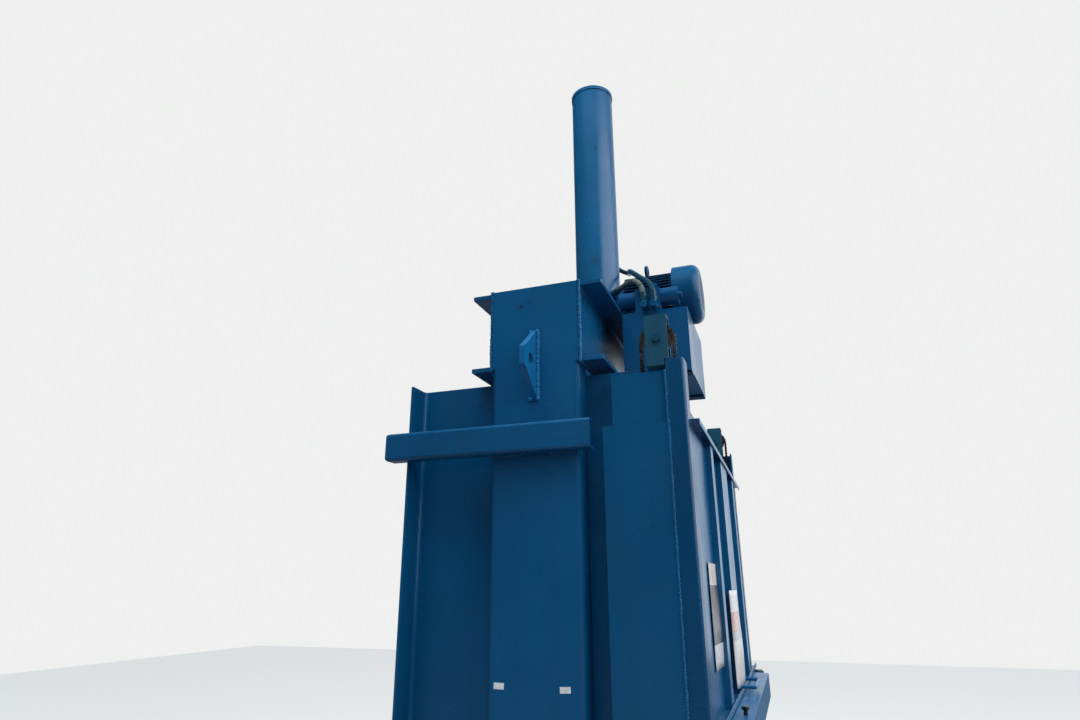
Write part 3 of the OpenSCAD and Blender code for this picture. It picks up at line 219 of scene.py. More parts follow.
def hose_look(name, painted, bare, bare_share):
    """Ribbed rubber under a brushed-on coat that has worn through in places."""
    look, tree, shader = new_look(name)
    place = shader_node(tree, "TexCoord").outputs["Object"]
    edge = shader_node(tree, "ValToRGB", {"Fac": cloud(tree, place, 38, 5)})
    edge.color_ramp.elements[0].position = 1 - bare_share
    edge.color_ramp.elements[1].position = min(1.0, 1.12 - bare_share)
    worn = edge.outputs["Color"]
    ribs = shader_node(
        tree, "Bump", {"Height": cloud(tree, place, 900, 2), "Strength": 0.35, "Distance": 0.0006})
    tree.links.new(tint(tree, worn, painted, bare), shader.inputs["Base Color"])
    tree.links.new(ribs.outputs["Normal"], shader.inputs["Normal"])
    tree.links.new(between(tree, worn, 0, 1, 0.32, 0.62), shader.inputs["Roughness"])
    return look


def hose(name, route, look, node):
    """One open curve through the route's points, as long as the line that it follows."""
    curve = bpy.data.curves.new(name, "CURVE")
    curve.dimensions = "3D"
    curve.bevel_depth = hose_diameter / 2
    curve.bevel_resolution = 6
    curve.resolution_u = 6
    curve.use_fill_caps = True
    spline = curve.splines.new("BEZIER")
    spline.bezier_points.add(len(route) - 1)
    for point, place in zip(spline.bezier_points, route):
        point.co = Vector(place) * millimetre
        point.handle_left_type = point.handle_right_type = "AUTO"
    piece = bpy.data.objects.new(name, curve)
    bpy.context.scene.collection.objects.link(piece)
    piece.data.materials.append(look)
    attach(piece, "frame")
    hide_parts(node)


coated_hose = hose_look("hose_painted_over", teal_paint, teal_rubber, bare_share=0.40)
bare_hose = hose_look("hose_grey_green", thin_paint, green_rubber, bare_share=0.62)
hose("hose_down_cover", down_route, coated_hose, "hose_down")
hose("hose_pump_cover", pump_route, bare_hose, "hose_pump")
hose("hose_up_cover", up_route, coated_hose, "hose_up")

# Floor plate and base frame
# Rolled cross channels with flat feet under the chamber's floor, which is a plain plate
# worn bare by what is pressed. The steel is sprayed in the machine's deep blue enamel.
blue = (0.0020, 0.085, 0.215, 1)
chamber_half_x = 0.8437
chamber_front = -0.5060
chamber_rear = 0.3868
chamber_low = 0.181
chamber_high = 1.72
wear_fades_over = 0.25


def calc(tree, operation, first, second):
    """The result of one sum on two values, kept between 0 and 1."""
    feeds = {0: first, 1: second}
    return shader_node(tree, "Math", feeds, operation=operation, use_clamp=True).outputs[0]


def blend_value(tree, share, under, over):
    """One value laid over another by a share."""
    return shader_node(tree, "Mix", {0: share, 2: under, 3: over}, data_type="FLOAT").outputs[0]


def shade(tree, colour, value):
    """A colour made darker or paler by a value around 1."""
    return shader_node(tree, "HueSaturation", {"Color": colour, "Value": value}).outputs[0]


def new_group(name, takes):
    """An effect's empty node group: the group, its inputs and its output node."""
    group = bpy.data.node_groups.new(name, "ShaderNodeTree")
    for socket, start in takes.items():
        kind = "NodeSocketColor" if isinstance(start, tuple) else "NodeSocketFloat"
        taken = group.interface.new_socket(socket, in_out="INPUT", socket_type=kind)
        taken.default_value = start
    gives = {"Colour": "Color", "Roughness": "Float", "Metallic": "Float", "Normal": "Vector"}
    for socket, kind in gives.items():
        group.interface.new_socket(socket, in_out="OUTPUT", socket_type="NodeSocket" + kind)
    return group, group.nodes.new("NodeGroupInput").outputs, group.nodes.new("NodeGroupOutput")


def give(group, out, colour, roughness, metallic, normal):
    """Links an effect's results to its output node."""
    results = {"Colour": colour, "Roughness": roughness, "Metallic": metallic, "Normal": normal}
    for socket, result in results.items():
        group.links.new(result, out.inputs[socket])


def inside_chamber(group, place):
    """1 on the surfaces within the chamber, fading to 0 towards its upper end."""
    spot = shader_node(group, "SeparateXYZ", {0: place}).outputs
    aside = shader_node(group, "Math", {0: spot["X"]}, operation="ABSOLUTE").outputs[0]
    across = calc(group, "LESS_THAN", aside, chamber_half_x)
    behind_front = calc(group, "GREATER_THAN", spot["Y"], chamber_front)
    before_rear = calc(group, "LESS_THAN", spot["Y"], chamber_rear)
    along = calc(group, "MULTIPLY", behind_front, before_rear)
    above_floor = calc(group, "GREATER_THAN", spot["Z"], chamber_low)
    below_fade = between(group, spot["Z"], chamber_high, chamber_high - wear_fades_over)
    upright = calc(group, "MULTIPLY", above_floor, below_fade)
    return calc(group, "MULTIPLY", calc(group, "MULTIPLY", across, along), upright)


def build_enamel():
    """Sprayed enamel: slow changes of tone, orange peel, dust on what faces up, scuffs, chips."""
    grime_colour = (0.012, 0.030, 0.042, 1)
    dust_colour = (0.21, 0.20, 0.18, 1)
    scuff_colour = (0.06, 0.20, 0.33, 1)
    rust_colour = (0.085, 0.030, 0.014, 1)
    dark_steel = (0.16, 0.15, 0.14, 1)
    pale_steel = (0.42, 0.41, 0.39, 1)
    group, given, out = new_group("sprayed_enamel", {
        "Colour": blue, "Dust": 0.3, "Scuffs": 0.3, "Grime": 0.3, "Worn inside": 0.0})
    place = shader_node(group, "TexCoord").outputs["Object"]
    tone = between(group, cloud(group, place, 1.7, 3), 0.3, 0.7, 0.88, 1.12)
    paint = shade(group, given["Colour"], tone)

    runs = between(group, cloud(group, place, 1, 5, (11, 11, 0.7)), 0.52, 0.90)
    grime = calc(group, "MULTIPLY", runs, given["Grime"])
    paint = tint(group, grime, paint, grime_colour)

    normal = shader_node(group, "NewGeometry").outputs["Normal"]
    facing_up = shader_node(group, "SeparateXYZ", {0: normal}).outputs["Z"]
    shelf = between(group, facing_up, 0.55, 0.95)
    drift = between(group, cloud(group, place, 6, 6), 0.36, 0.66, 0.25, 1.0)
    settled = calc(group, "MULTIPLY", calc(group, "MULTIPLY", shelf, drift), given["Dust"])
    flecks = between(group, cloud(group, place, 210, 2), 0.70, 0.76)
    flecks = calc(group, "MULTIPLY", flecks, calc(group, "MULTIPLY", given["Dust"], 0.5))
    dust = calc(group, "MAXIMUM", settled, flecks)
    paint = tint(group, dust, paint, dust_colour)

    long_lines = cloud(group, place, 1, 2, (6, 6, 420), (0.5, 0.2, 0))
    short_lines = cloud(group, place, 1, 2, (420, 22, 120), (0.3, 0.9, 0.4))
    lines = calc(group, "MAXIMUM", between(group, long_lines, 0.66, 0.70),
                 between(group, short_lines, 0.68, 0.71))
    areas = between(group, cloud(group, place, 3.1, 3), 0.50, 0.62)
    lines = calc(group, "MULTIPLY", calc(group, "MULTIPLY", lines, areas), given["Scuffs"])
    paint = tint(group, lines, paint, scuff_colour)
    chips = between(group, cloud(group, place, 55, 9), 0.715, 0.725)
    chips = calc(group, "MULTIPLY", calc(group, "MULTIPLY", chips, areas), given["Scuffs"])
    paint = tint(group, chips, paint, rust_colour)

    inside = inside_chamber(group, place)
    rubbed = between(group, cloud(group, place, 1, 7, (30, 30, 2.2)), 0.40, 0.56)
    bare = calc(group, "MULTIPLY", calc(group, "MULTIPLY", inside, rubbed), given["Worn inside"])
    steel = tint(group, cloud(group, place, 1, 5, (160, 160, 3)), dark_steel, pale_steel)
    paint = tint(group, bare, paint, steel)

    rough = between(group, cloud(group, place, 4.5, 5), 0.3, 0.7, 0.20, 0.34)
    wears = ((grime, 0.45), (dust, 0.85), (lines, 0.55), (chips, 0.9), (bare, 0.42))
    for share, level in wears:
        rough = blend_value(group, share, rough, level)
    waves = cloud(group, place, 5.5, 1)
    sheet = shader_node(group, "Bump", {"Height": waves, "Strength": 0.10, "Distance": 0.010})
    peel = shader_node(group, "Bump", {
        "Height": cloud(group, place, 260, 2), "Strength": 0.16, "Distance": 0.0005,
        "Normal": sheet.outputs[0]})
    cuts = shader_node(group, "Bump", {
        "Height": calc(group, "MAXIMUM", lines, chips), "Strength": 0.3, "Distance": -0.0002,
        "Normal": peel.outputs[0]})
    give(group, out, paint, rough, bare, cuts.outputs[0])
    return group


def effect_look(name, effect, amounts, gloss):
    """A material whose surface is an effect with its own amounts."""
    look, tree, shader = new_look(name)
    surface = shader_node(tree, "Group", amounts, node_tree=effect).outputs
    shader.inputs["Specular IOR Level"].default_value = gloss
    tree.links.new(surface["Colour"], shader.inputs["Base Color"])
    for socket in ("Roughness", "Metallic", "Normal"):
        tree.links.new(surface[socket], shader.inputs[socket])
    return look


enamel_effect = build_enamel()


def enamel(name, dust, scuffs, grime, colour=blue, worn_inside=0.0, gloss=0.32):
    """A material in sprayed enamel with its own amounts of wear."""
    amounts = {"Colour": colour, "Dust": dust, "Scuffs": scuffs, "Grime": grime,
               "Worn inside": worn_inside}
    return effect_look(name, enamel_effect, amounts, gloss)


def build_worn_metal():
    """Bare metal: a fine grain and dark patches of oil or dirt."""
    group, given, out = new_group("worn_metal", {
        "Colour": (0.5, 0.5, 0.5, 1), "Dirt": (0.03, 0.025, 0.02, 1), "Amount": 0.3, "Shine": 0.3})
    place = shader_node(group, "TexCoord").outputs["Object"]
    tone = between(group, cloud(group, place, 28, 6), 0.3, 0.7, 0.72, 1.18)
    patches = between(group, cloud(group, place, 17, 8), 0.44, 0.62)
    dirt = calc(group, "MULTIPLY", patches, given["Amount"])
    surface = tint(group, dirt, shade(group, given["Colour"], tone), given["Dirt"])
    fine = between(group, cloud(group, place, 240, 3), 0.3, 0.7, -0.05, 0.07)
    rough = shader_node(group, "Math", {0: given["Shine"], 1: fine}, operation="ADD").outputs[0]
    rough = blend_value(group, dirt, rough, 0.62)
    solid = between(group, dirt, 0, 1, 1.0, 0.35)
    grain = cloud(group, place, 1, 4, (500, 500, 500))
    bump = shader_node(group, "Bump", {"Height": grain, "Strength": 0.18, "Distance": 0.0003})
    give(group, out, surface, rough, solid, bump.outputs[0])
    return group


metal_effect = build_worn_metal()
metal_gloss = 0.5


def metal(name, colour, dirt, amount, shine):
    """A bare metal with its own colour, dirt and shine."""
    amounts = {"Colour": colour, "Dirt": dirt, "Amount": amount, "Shine": shine}
    return effect_look(name, metal_effect, amounts, metal_gloss)


def coat(look, *names, ease=0.0):
    """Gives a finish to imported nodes, and rolls their edges over a width, as a grinder does."""
    for name in names:
        piece = nodes[name]
        if not piece.material_slots:
            piece.data.materials.append(look)
        for place in piece.material_slots:
            place.material = look
        if ease:
            join = piece.modifiers.new("joined", "WELD")
            join.merge_threshold = 0.00002
            bevel = piece.modifiers.new("eased", "BEVEL")
            bevel.width = ease
            bevel.segments = 2
            bevel.limit_method = "ANGLE"
            bevel.angle_limit = math.radians(40)
            bevel.miter_outer = "MITER_ARC"


coat(enamel("enamel_base", dust=0.75, scuffs=0.8, grime=0.7), "base_frame", ease=0.0015)
floor_steel = metal("floor_worn_bare", (0.36, 0.35, 0.34, 1), dirt=(0.05, 0.035, 0.025, 1),
                    amount=0.7, shine=0.36)
coat(floor_steel, "floor_plate", ease=0.001)

# Side walls, rear wall and front frame
# Bent plate: the side walls turn out into the rear flanges, and wire ribs and channels
# stiffen the rear. Inside, the enamel is rubbed down to steel.
enamel_walls = enamel("enamel_walls", dust=0.16, scuffs=0.06, grime=0.30, worn_inside=0.85)
coat(enamel_walls, "side_wall_left", "side_wall_right", "rear_wall", "front_header", "front_sill",
     ease=0.0012)

# Side columns
# Each column is a folded plate channel whose face runs on up between the crosshead's ends
# and is welded to them with rough, painted-over beads.
bead_step = 0.0064
column_face_x = 0.945
upright_bead_x = -0.937
upright_bead_edges = (-0.1650, 0.1660)
head_low = 2.333
head_high = 2.633
foot_bead_outer_x = -0.930
foot_bead_inner_x = -0.862
# The welds are painted over in the machine's enamel, but their blue is paler: a painted highlight
# for the light that the beads' ripples catch.
weld_blue_and_highlight = (0.0030, 0.098, 0.240, 1)
smudge_colour = (0.006, 0.030, 0.055, 1)
column_smudges = (
    (-0.945, 0.052, 2.560, 0.016), (-0.945, 0.018, 2.578, 0.012), (-0.945, 0.020, 2.070, 0.010))
sticker_x = -0.9452
sticker_size = (0.0006, 0.034, 0.018)
sticker_white = (0.86, 0.86, 0.84, 1)
sticker_grey = (0.68, 0.70, 0.70, 1)
stickers = (("rear", 0.1175, 1.3085, 1.5), ("front", -0.0970, 1.3055, -2.5))


def stain(look, spots, colour):
    """Ragged stains in an enamel, each at a place with its reach, broken up by fine noise."""
    tree = look.node_tree
    place = shader_node(tree, "TexCoord").outputs["Object"]
    stained = 0.0
    for x, y, z, reach in spots:
        away = shader_node(tree, "VectorMath", {0: place, 1: (x, y, z)}, operation="DISTANCE")
        near = between(tree, away.outputs["Value"], reach, reach * 0.25)
        stained = calc(tree, "MAXIMUM", near, stained)
    ragged = between(tree, cloud(tree, place, 120, 7), 0.44, 0.58)
    stained = calc(tree, "MULTIPLY", stained, ragged)
    surface = next(part for part in tree.nodes if part.type == "GROUP")
    stained_colour = tint(tree, stained, surface.outputs["Colour"], colour)
    tree.links.new(stained_colour, tree.nodes["Principled BSDF"].inputs["Base Color"])


def weld_beads(name, runs, leg, look, seed):
    """Ripples of weld metal along each run, on the near side and mirrored on the far side."""
    wander = 0.12 * leg
    for side, side_name in ((1, "left"), (-1, "right")):
        chance = random.Random(seed)
        beads = []
        for start, end in runs:
            start = Vector((start[0] * side, start[1], start[2]))
            end = Vector((end[0] * side, end[1], end[2]))
            count = max(2, round((end - start).length / bead_step))
            bpy.ops.object.select_all(action="DESELECT")
            bpy.ops.mesh.primitive_uv_sphere_add(
                segments=8, ring_count=6, radius=leg, location=(0, 0, 0))
            bead = bpy.context.object
            ripples = bead.modifiers.new("ripples", "ARRAY")
            ripples.count = count
            ripples.use_relative_offset = False
            ripples.use_constant_offset = True
            ripples.constant_offset_displace = (0, 0, (end - start).length / (count - 1))
            bpy.ops.object.modifier_apply(modifier="ripples")
            share = len(bead.data.vertices) // count
            shifts = [(chance.uniform(-wander, wander), chance.uniform(-wander, wander))
                      for _ in range(count)]
            for point in bead.data.vertices:
                aside = shifts[min(point.index // share, count - 1)]
                point.co.x += aside[0]
                point.co.y += aside[1]
            turn = (end - start).to_track_quat("Z", "X").to_matrix().to_4x4()
            bead.matrix_world = Matrix.Translation(start) @ turn
            bpy.ops.object.transform_apply(location=True, rotation=True, scale=True)
            bpy.ops.object.shade_smooth()
            beads.append(bead)
        bpy.ops.object.select_all(action="DESELECT")
        for bead in beads:
            bead.select_set(True)
        bpy.context.view_layer.objects.active = beads[0]
        bpy.ops.object.join()
        joined = bpy.context.object
        joined.name = name + "_" + side_name
        joined.data.materials.append(look)
        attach(joined, "frame")


def upright(x, y, low, high):
    """A weld's run straight up."""
    return (x, y, low), (x, y, high)


enamel_columns = enamel("enamel_columns", dust=0.10, scuffs=0.05, grime=0.16)
stain(enamel_columns, column_smudges, smudge_colour)
coat(enamel_columns, "column_left", "column_right", ease=0.0014)

# Painted-over welds in that paler blue, which is partly a painted highlight.
enamel_welds_and_highlight = enamel("enamel_welds_and_highlight", dust=0.10, scuffs=0.20, grime=0.3, colour=weld_blue_and_highlight)
column_runs = []
for edge in upright_bead_edges:
    column_runs.append(upright(upright_bead_x, edge, head_low, head_high))
    column_runs.append(((foot_bead_outer_x, edge, head_low - 0.001),
                        (foot_bead_inner_x, edge, head_low - 0.001)))
weld_beads("column_weld", column_runs, leg=0.0082, look=enamel_welds_and_highlight, seed=11)

sticker_look, tree, shader = new_look("white_sticker")
place = shader_node(tree, "TexCoord").outputs["Object"]
smudge = between(tree, cloud(tree, place, 60, 5), 0.35, 0.7)
sticker_colour = tint(tree, smudge, sticker_white, sticker_grey)
tree.links.new(sticker_colour, shader.inputs["Base Color"])
tree.links.new(between(tree, smudge, 0, 1, 0.35, 0.6), shader.inputs["Roughness"])
for sticker_name, along, height, tilt in stickers:
    bpy.ops.object.select_all(action="DESELECT")
    bpy.ops.mesh.primitive_cube_add(size=1, location=(sticker_x, along, height), scale=sticker_size)
    sticker = bpy.context.object
    sticker.name = "column_sticker_" + sticker_name
    sticker.rotation_euler = (math.radians(tilt), 0, 0)
    rounding = sticker.modifiers.new("rounding", "BEVEL")
    rounding.width = 0.00025
    rounding.segments = 2
    bpy.ops.object.modifier_apply(modifier="rounding")
    bpy.ops.object.transform_apply(location=True, rotation=True, scale=True)
    sticker.data.materials.append(sticker_look)
    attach(sticker, "frame")

# Crosshead
# Two rolled channels back to back with the cylinder's thick seat and its diaphragms
# between them. The mill's roots are round, and dust lies on the upper flanges.
head_rust = (0.090, 0.030, 0.022, 1)
head_spots = ((-0.845, -0.172, 2.333, 0.013), (-0.640, -0.247, 2.634, 0.020))
enamel_head = enamel("enamel_head", dust=0.35, scuffs=0.22, grime=0.25, gloss=0.5)
stain(enamel_head, head_spots, head_rust)
coat(enamel_head, "crosshead_front", "crosshead_rear", ease=0.0016)
coat(enamel_head, "crosshead_seat", ease=0.0012)

# Lifting lugs
# A thick flame-cut plate with a shackle hole, welded edge-on to each column's face with
# heavy beads on both sides.
lug_low = 2.209
lug_high = 2.456
lug_bead_y = 0.012
lug_blue = (0.0030, 0.120, 0.300, 1)
enamel_lugs = enamel("enamel_lugs", dust=0.20, scuffs=0.45, grime=0.20, colour=lug_blue)
coat(enamel_lugs, "lifting_lugs", ease=0.0018)
lug_runs = [upright(-column_face_x, y, lug_low, lug_high) for y in (-lug_bead_y, lug_bead_y)]
weld_beads("lug_weld", lug_runs, leg=0.0090, look=enamel_lugs, seed=23)

# Side rails
# A folded channel with its back outward, clipped at its rear corners and welded across
# each column. It has caught dust and a few rubs.
rail_blue = (0.003, 0.082, 0.205, 1)
rail_bead_x = -0.946
rail_bead_low = 2.019
rail_bead_high = 2.120
enamel_rails = enamel("enamel_rails", dust=0.14, scuffs=0.22, grime=0.30, colour=rail_blue)
coat(enamel_rails, "side_rails", ease=0.0007)
rail_runs = [((rail_bead_x, start, z), (rail_bead_x, end, z))
             for z in (rail_bead_low, rail_bead_high)
             for start, end in ((-0.140, -0.060), (0.060, 0.140))]
weld_beads("rail_weld", rail_runs, leg=0.0052, look=enamel_rails, seed=31)

# Guide posts and counterweight boxes
# The posts are folded channels that hold the gate's stiles; the sheet-metal boxes behind
# them hide the weights. Short stitch welds join the two, painted over.
post_blue = (0.0015, 0.054, 0.140, 1)
box_blue = (0.0020, 0.076, 0.185, 1)
stitch_x = -0.9425
stitch_y = -0.4535
stitch_half = 0.018
stitch_heights = (1.000, 1.296, 1.546, 1.725, 1.909, 2.050)
enamel_posts = enamel("enamel_posts", dust=0.08, scuffs=0.10, grime=0.20, colour=post_blue)
enamel_boxes = enamel("enamel_boxes", dust=0.10, scuffs=0.06, grime=0.22, colour=box_blue)
coat(enamel_posts, "guide_post_left", "guide_post_right", ease=0.001)
coat(enamel_boxes, "weight_box_left", "weight_box_right", ease=0.001)
post_runs = [upright(stitch_x, stitch_y, height - stitch_half, height + stitch_half)
             for height in stitch_heights]
seam_runs = [upright(-0.9440, stitch_y, 0.902, 2.092), upright(-0.9420, -0.4520, 2.098, 2.262)]
weld_beads("post_weld", post_runs, leg=0.0062, look=enamel_welds_and_highlight, seed=41)
weld_beads("post_seam", seam_runs, leg=0.0052, look=enamel_welds_and_highlight, seed=43)

# Gate chains
# On each post a folded bracket carries a fixed axle with a toothed wheel. The roller chain
# runs from the gate's stile over the wheel and down into the box; it is oiled and brown.
bracket_blue = (0.014, 0.076, 0.130, 1)
axle_blue = (0.006, 0.060, 0.115, 1)
enamel_brackets = enamel("enamel_brackets", dust=0.35, scuffs=0.3, grime=0.55, colour=bracket_blue)
coat(enamel_brackets, "sprocket_bracket_left", "sprocket_bracket_right", ease=0.0009)
oily_steel = metal("oily_chain_steel", (0.30, 0.265, 0.23, 1), dirt=(0.012, 0.008, 0.006, 1),
                   amount=0.95, shine=0.24)
coat(oily_steel, "chain_left", "chain_right")
wheel_steel = metal(
    "wheel_steel", (0.34, 0.32, 0.30, 1), dirt=(0.020, 0.015, 0.012, 1), amount=0.75, shine=0.32)
coat(wheel_steel, "sprocket_left", "sprocket_right")
enamel_axles = enamel("enamel_axles", dust=0.4, scuffs=0.7, grime=0.8, colour=axle_blue)
coat(enamel_axles, "sprocket_axles", ease=0.0007)

# Counterweights
# Plain cast iron bars that balance the gate, left rough and unpainted. Each hangs on
# its chain's end inside a weight box.
cast_iron = metal(
    "cast_iron", (0.16, 0.155, 0.15, 1), dirt=(0.06, 0.03, 0.018, 1), amount=0.6, shine=0.6)
coat(cast_iron, "counterweight_left", "counterweight_right", ease=0.002)

# Feed gate
# A ribbed sheet with its edges turned out, in stiles that run in the posts. A bent bar is
# its handle, and two laminated sheets of paper hang on its face.
gate_blue = (0.0030, 0.095, 0.235, 1)
handle_blue = (0.010, 0.120, 0.290, 1)
near_bands = ((0, (0.66, 0.65, 0.68, 1)), (1.417, (0.030, 0.020, 0.028, 1)),
              (1.455, (0.070, 0.050, 0.050, 1)), (1.600, (0.74, 0.66, 0.60, 1)))
middle_bands = ((0, (0.70, 0.66, 0.64, 1)), (1.395, (0.50, 0.48, 0.47, 1)),
                (1.425, (0.62, 0.42, 0.36, 1)), (1.500, (0.74, 0.72, 0.71, 1)))
enamel_gate = enamel(
    "enamel_gate", dust=0.12, scuffs=0.07, grime=0.12, colour=gate_blue, gloss=0.6)
coat(enamel_gate, "feed_gate", ease=0.0007)
coat(enamel("enamel_handle", dust=0.25, scuffs=0.9, grime=0.2, colour=handle_blue), "gate_handle")


def laminate(name, bands):
    """Printed paper under a glossy film: bands of faded colour from its foot to its top."""
    faded = (0.62, 0.62, 0.60, 1)
    look, tree, shader = new_look(name)
    place = shader_node(tree, "TexCoord").outputs["Object"]
    height = shader_node(tree, "SeparateXYZ", {0: place}).outputs["Z"]
    paper = bands[0][1]
    for start, colour in bands[1:]:
        paper = tint(tree, between(tree, height, start - 0.001, start + 0.001), paper, colour)
    fade = between(tree, cloud(tree, place, 22, 6), 0.40, 0.80, 0.0, 0.25)
    gloss = between(tree, cloud(tree, place, 9, 4), 0.3, 0.7, 0.16, 0.34)
    creases = shader_node(
        tree, "Bump", {"Height": cloud(tree, place, 14, 3), "Strength": 0.3, "Distance": 0.004})
    tree.links.new(tint(tree, fade, paper, faded), shader.inputs["Base Color"])
    tree.links.new(gloss, shader.inputs["Roughness"])
    tree.links.new(creases.outputs[0], shader.inputs["Normal"])
    return look


def notice(name, x0, x1, z0, z1, face, fold_x, near_reach, far_reach, bands):
    """A laminated sheet that lifts off the gate beyond its fold and at its far edge."""
    bpy.ops.object.select_all(action="DESELECT")
    bpy.ops.mesh.primitive_plane_add(
        size=1, location=((x0 + x1) / 2, face, (z0 + z1) / 2), rotation=(math.radians(90), 0, 0))
    sheet = bpy.context.object
    sheet.name = name
    sheet.scale = (x1 - x0, z1 - z0, 1)
    bpy.ops.object.transform_apply(location=True, rotation=True, scale=True)
    bpy.ops.object.mode_set(mode="EDIT")
    bpy.ops.mesh.select_all(action="SELECT")
    bpy.ops.mesh.subdivide(number_cuts=15)
    bpy.ops.object.mode_set(mode="OBJECT")
    for point in sheet.data.vertices:
        side = (point.co.x - x0) / (x1 - x0)
        rise = (point.co.z - z0) / (z1 - z0)
        near_curl = near_reach * max(0.0, (fold_x - point.co.x) / (fold_x - x0)) ** 2
        far_curl = far_reach * side ** 2 * (0.7 + 0.3 * math.sin(5 * rise))
        ripple = 0.0016 * (0.5 + 0.5 * math.sin(9 * rise + 4 * side))
        held = min(1, 6 * side) * min(1, 6 * (1 - side))
        point.co.y -= near_curl + far_curl + ripple * held
    wall = sheet.modifiers.new("film", "SOLIDIFY")
    wall.thickness = 0.0004
    wall.offset = 0
    bpy.ops.object.modifier_apply(modifier="film")
    bpy.ops.object.shade_smooth()
    sheet.data.materials.append(laminate(name + "_paper", bands))
    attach(sheet, "gate")


notice("gate_notice_near", x0=-0.722, x1=-0.516, z0=1.343, z1=1.670, face=-0.5128,
       fold_x=-0.680, near_reach=0.004, far_reach=0.011, bands=near_bands)
notice("gate_notice_middle", x0=-0.170, x1=0.040, z0=1.230, z1=1.580, face=-0.5358,
       fold_x=-0.138, near_reach=-0.009, far_reach=0.010, bands=middle_bands)

# Gate switch
# A small switch in a moulded case of a brighter, more violet blue, fixed to the header
# behind the gate's top edge.
switch_blue = (0.012, 0.045, 0.300, 1)
pale_dust = (0.24, 0.23, 0.21, 1)


def moulding(name, colour, rough, grain=0.25):
    """Moulded plastic or powder coat: a fine grain, a little dust and slight wear in its gloss."""
    look, tree, shader = new_look(name)
    place = shader_node(tree, "TexCoord").outputs["Object"]
    tone = between(tree, cloud(tree, place, 30, 5), 0.3, 0.7, 0.82, 1.15)
    dust = between(tree, cloud(tree, place, 90, 6), 0.56, 0.74, 0.0, 0.22)
    dusty = tint(tree, dust, shade(tree, colour, tone), pale_dust)
    worn = between(tree, cloud(tree, place, 12, 5), 0.3, 0.7, rough - 0.06, rough + 0.10)
    fine = shader_node(
        tree, "Bump", {"Height": cloud(tree, place, 900, 2), "Strength": grain, "Distance": 0.0003})
    tree.links.new(dusty, shader.inputs["Base Color"])
    tree.links.new(worn, shader.inputs["Roughness"])
    tree.links.new(fine.outputs[0], shader.inputs["Normal"])
    return look


coat(moulding("switch_case_blue", switch_blue, rough=0.40), "gate_switch", ease=0.0012)

# Bale door
# A plate with square beams across it, hinged on the far post. Its top beam is a ledge that
# use has rubbed. The lock bar's fingers drop into keepers on the near post.
door_blue = (0.0025, 0.118, 0.290, 1)
lever_black = (0.010, 0.012, 0.014, 1)
knob_place = (-0.530, -0.577, 1.195)
knob_profile = ((0.0070, 0.0), (0.0070, 0.0190), (0.0100, 0.0205), (0.0125, 0.0240),
                (0.0130, 0.0270), (0.0122, 0.0295), (0.0090, 0.0308), (0.0030, 0.0310))
enamel_door = enamel("enamel_door", dust=0.10, scuffs=0.45, grime=0.16, colour=door_blue,
                     worn_inside=0.85, gloss=0.3)
coat(enamel_door, "bale_door", "lock_bar", ease=0.0014)
zinc = metal(
    "zinc_plate", (0.48, 0.47, 0.44, 1), dirt=(0.05, 0.045, 0.035, 1), amount=0.45, shine=0.34)
coat(zinc, "door_hinge_pins", ease=0.0012)
enamel_lever = enamel("enamel_lever", dust=0.45, scuffs=1.0, grime=0.3, colour=lever_black)
coat(enamel_lever, "door_lever", ease=0.0012)
black_moulding = moulding("black_moulding", (0.012, 0.012, 0.013, 1), rough=0.38)


def turned(name, profile, sides, place, direction, smooth, look):
    """A round or many-sided piece drawn up from its foot through (radius, height) steps."""
    bpy.ops.object.select_all(action="DESELECT")
    bpy.ops.mesh.primitive_circle_add(
        vertices=sides, radius=profile[0][0], fill_type="NGON", location=(0, 0, 0))
    piece = bpy.context.object
    piece.name = name
    bpy.ops.object.mode_set(mode="EDIT")
    bpy.ops.mesh.select_all(action="SELECT")
    for (radius, height), (next_radius, next_height) in zip(profile, profile[1:]):
        step = (0, 0, next_height - height)
        bpy.ops.mesh.extrude_region_move(TRANSFORM_OT_translate={"value": step})
        bpy.ops.transform.resize(value=(next_radius / radius, next_radius / radius, 1))
    bpy.ops.mesh.select_all(action="SELECT")
    bpy.ops.mesh.normals_make_consistent(inside=False)
    bpy.ops.object.mode_set(mode="OBJECT")
    turn = Vector(direction).to_track_quat("Z", "Y").to_matrix().to_4x4()
    piece.matrix_world = Matrix.Translation(place) @ turn
    bpy.ops.object.transform_apply(location=True, rotation=True, scale=True)
    bpy.ops.object.shade_smooth_by_angle(angle=math.radians(smooth))
    piece.data.materials.append(look)
    return piece


knob = turned("pull_knob", knob_profile, sides=32, place=knob_place, direction=(0, 0, 1),
              smooth=50, look=black_moulding)
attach(knob, "door")
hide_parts("pull_pin")

# Cylinder
# A honed tube with a welded cap, bolted under its seat and sprayed with the machine.
# Its rod is ground and chromed, and two dark smudges have stayed on the barrel.
barrel_blue = (0.0022, 0.090, 0.220, 1)
barrel_dirt = (0.014, 0.034, 0.046, 1)
barrel_smudges = ((-0.108, -0.020, 3.135, 0.034), (-0.104, -0.036, 3.792, 0.014))
barrel_look = enamel(
    "enamel_barrel", dust=0.08, scuffs=0.15, grime=0.16, colour=barrel_blue, gloss=0.5)
stain(barrel_look, barrel_smudges, barrel_dirt)
coat(barrel_look, "cylinder_barrel")
coat(enamel_head, "pressure_pipe")
coat(zinc, "cylinder_bolts", "cylinder_gland", "piston")
chrome = metal(
    "ground_chrome", (0.62, 0.63, 0.64, 1), dirt=(0.10, 0.08, 0.06, 1), amount=0.18, shine=0.12)
coat(chrome, "piston_rod")

# Platen
# A thick plate with cross channels welded on its back, on the end of the piston rod.
# Its enamel is scuffed all over by what it presses.
coat(enamel("enamel_platen", dust=0.7, scuffs=1.0, grime=0.5), "platen", ease=0.0012)

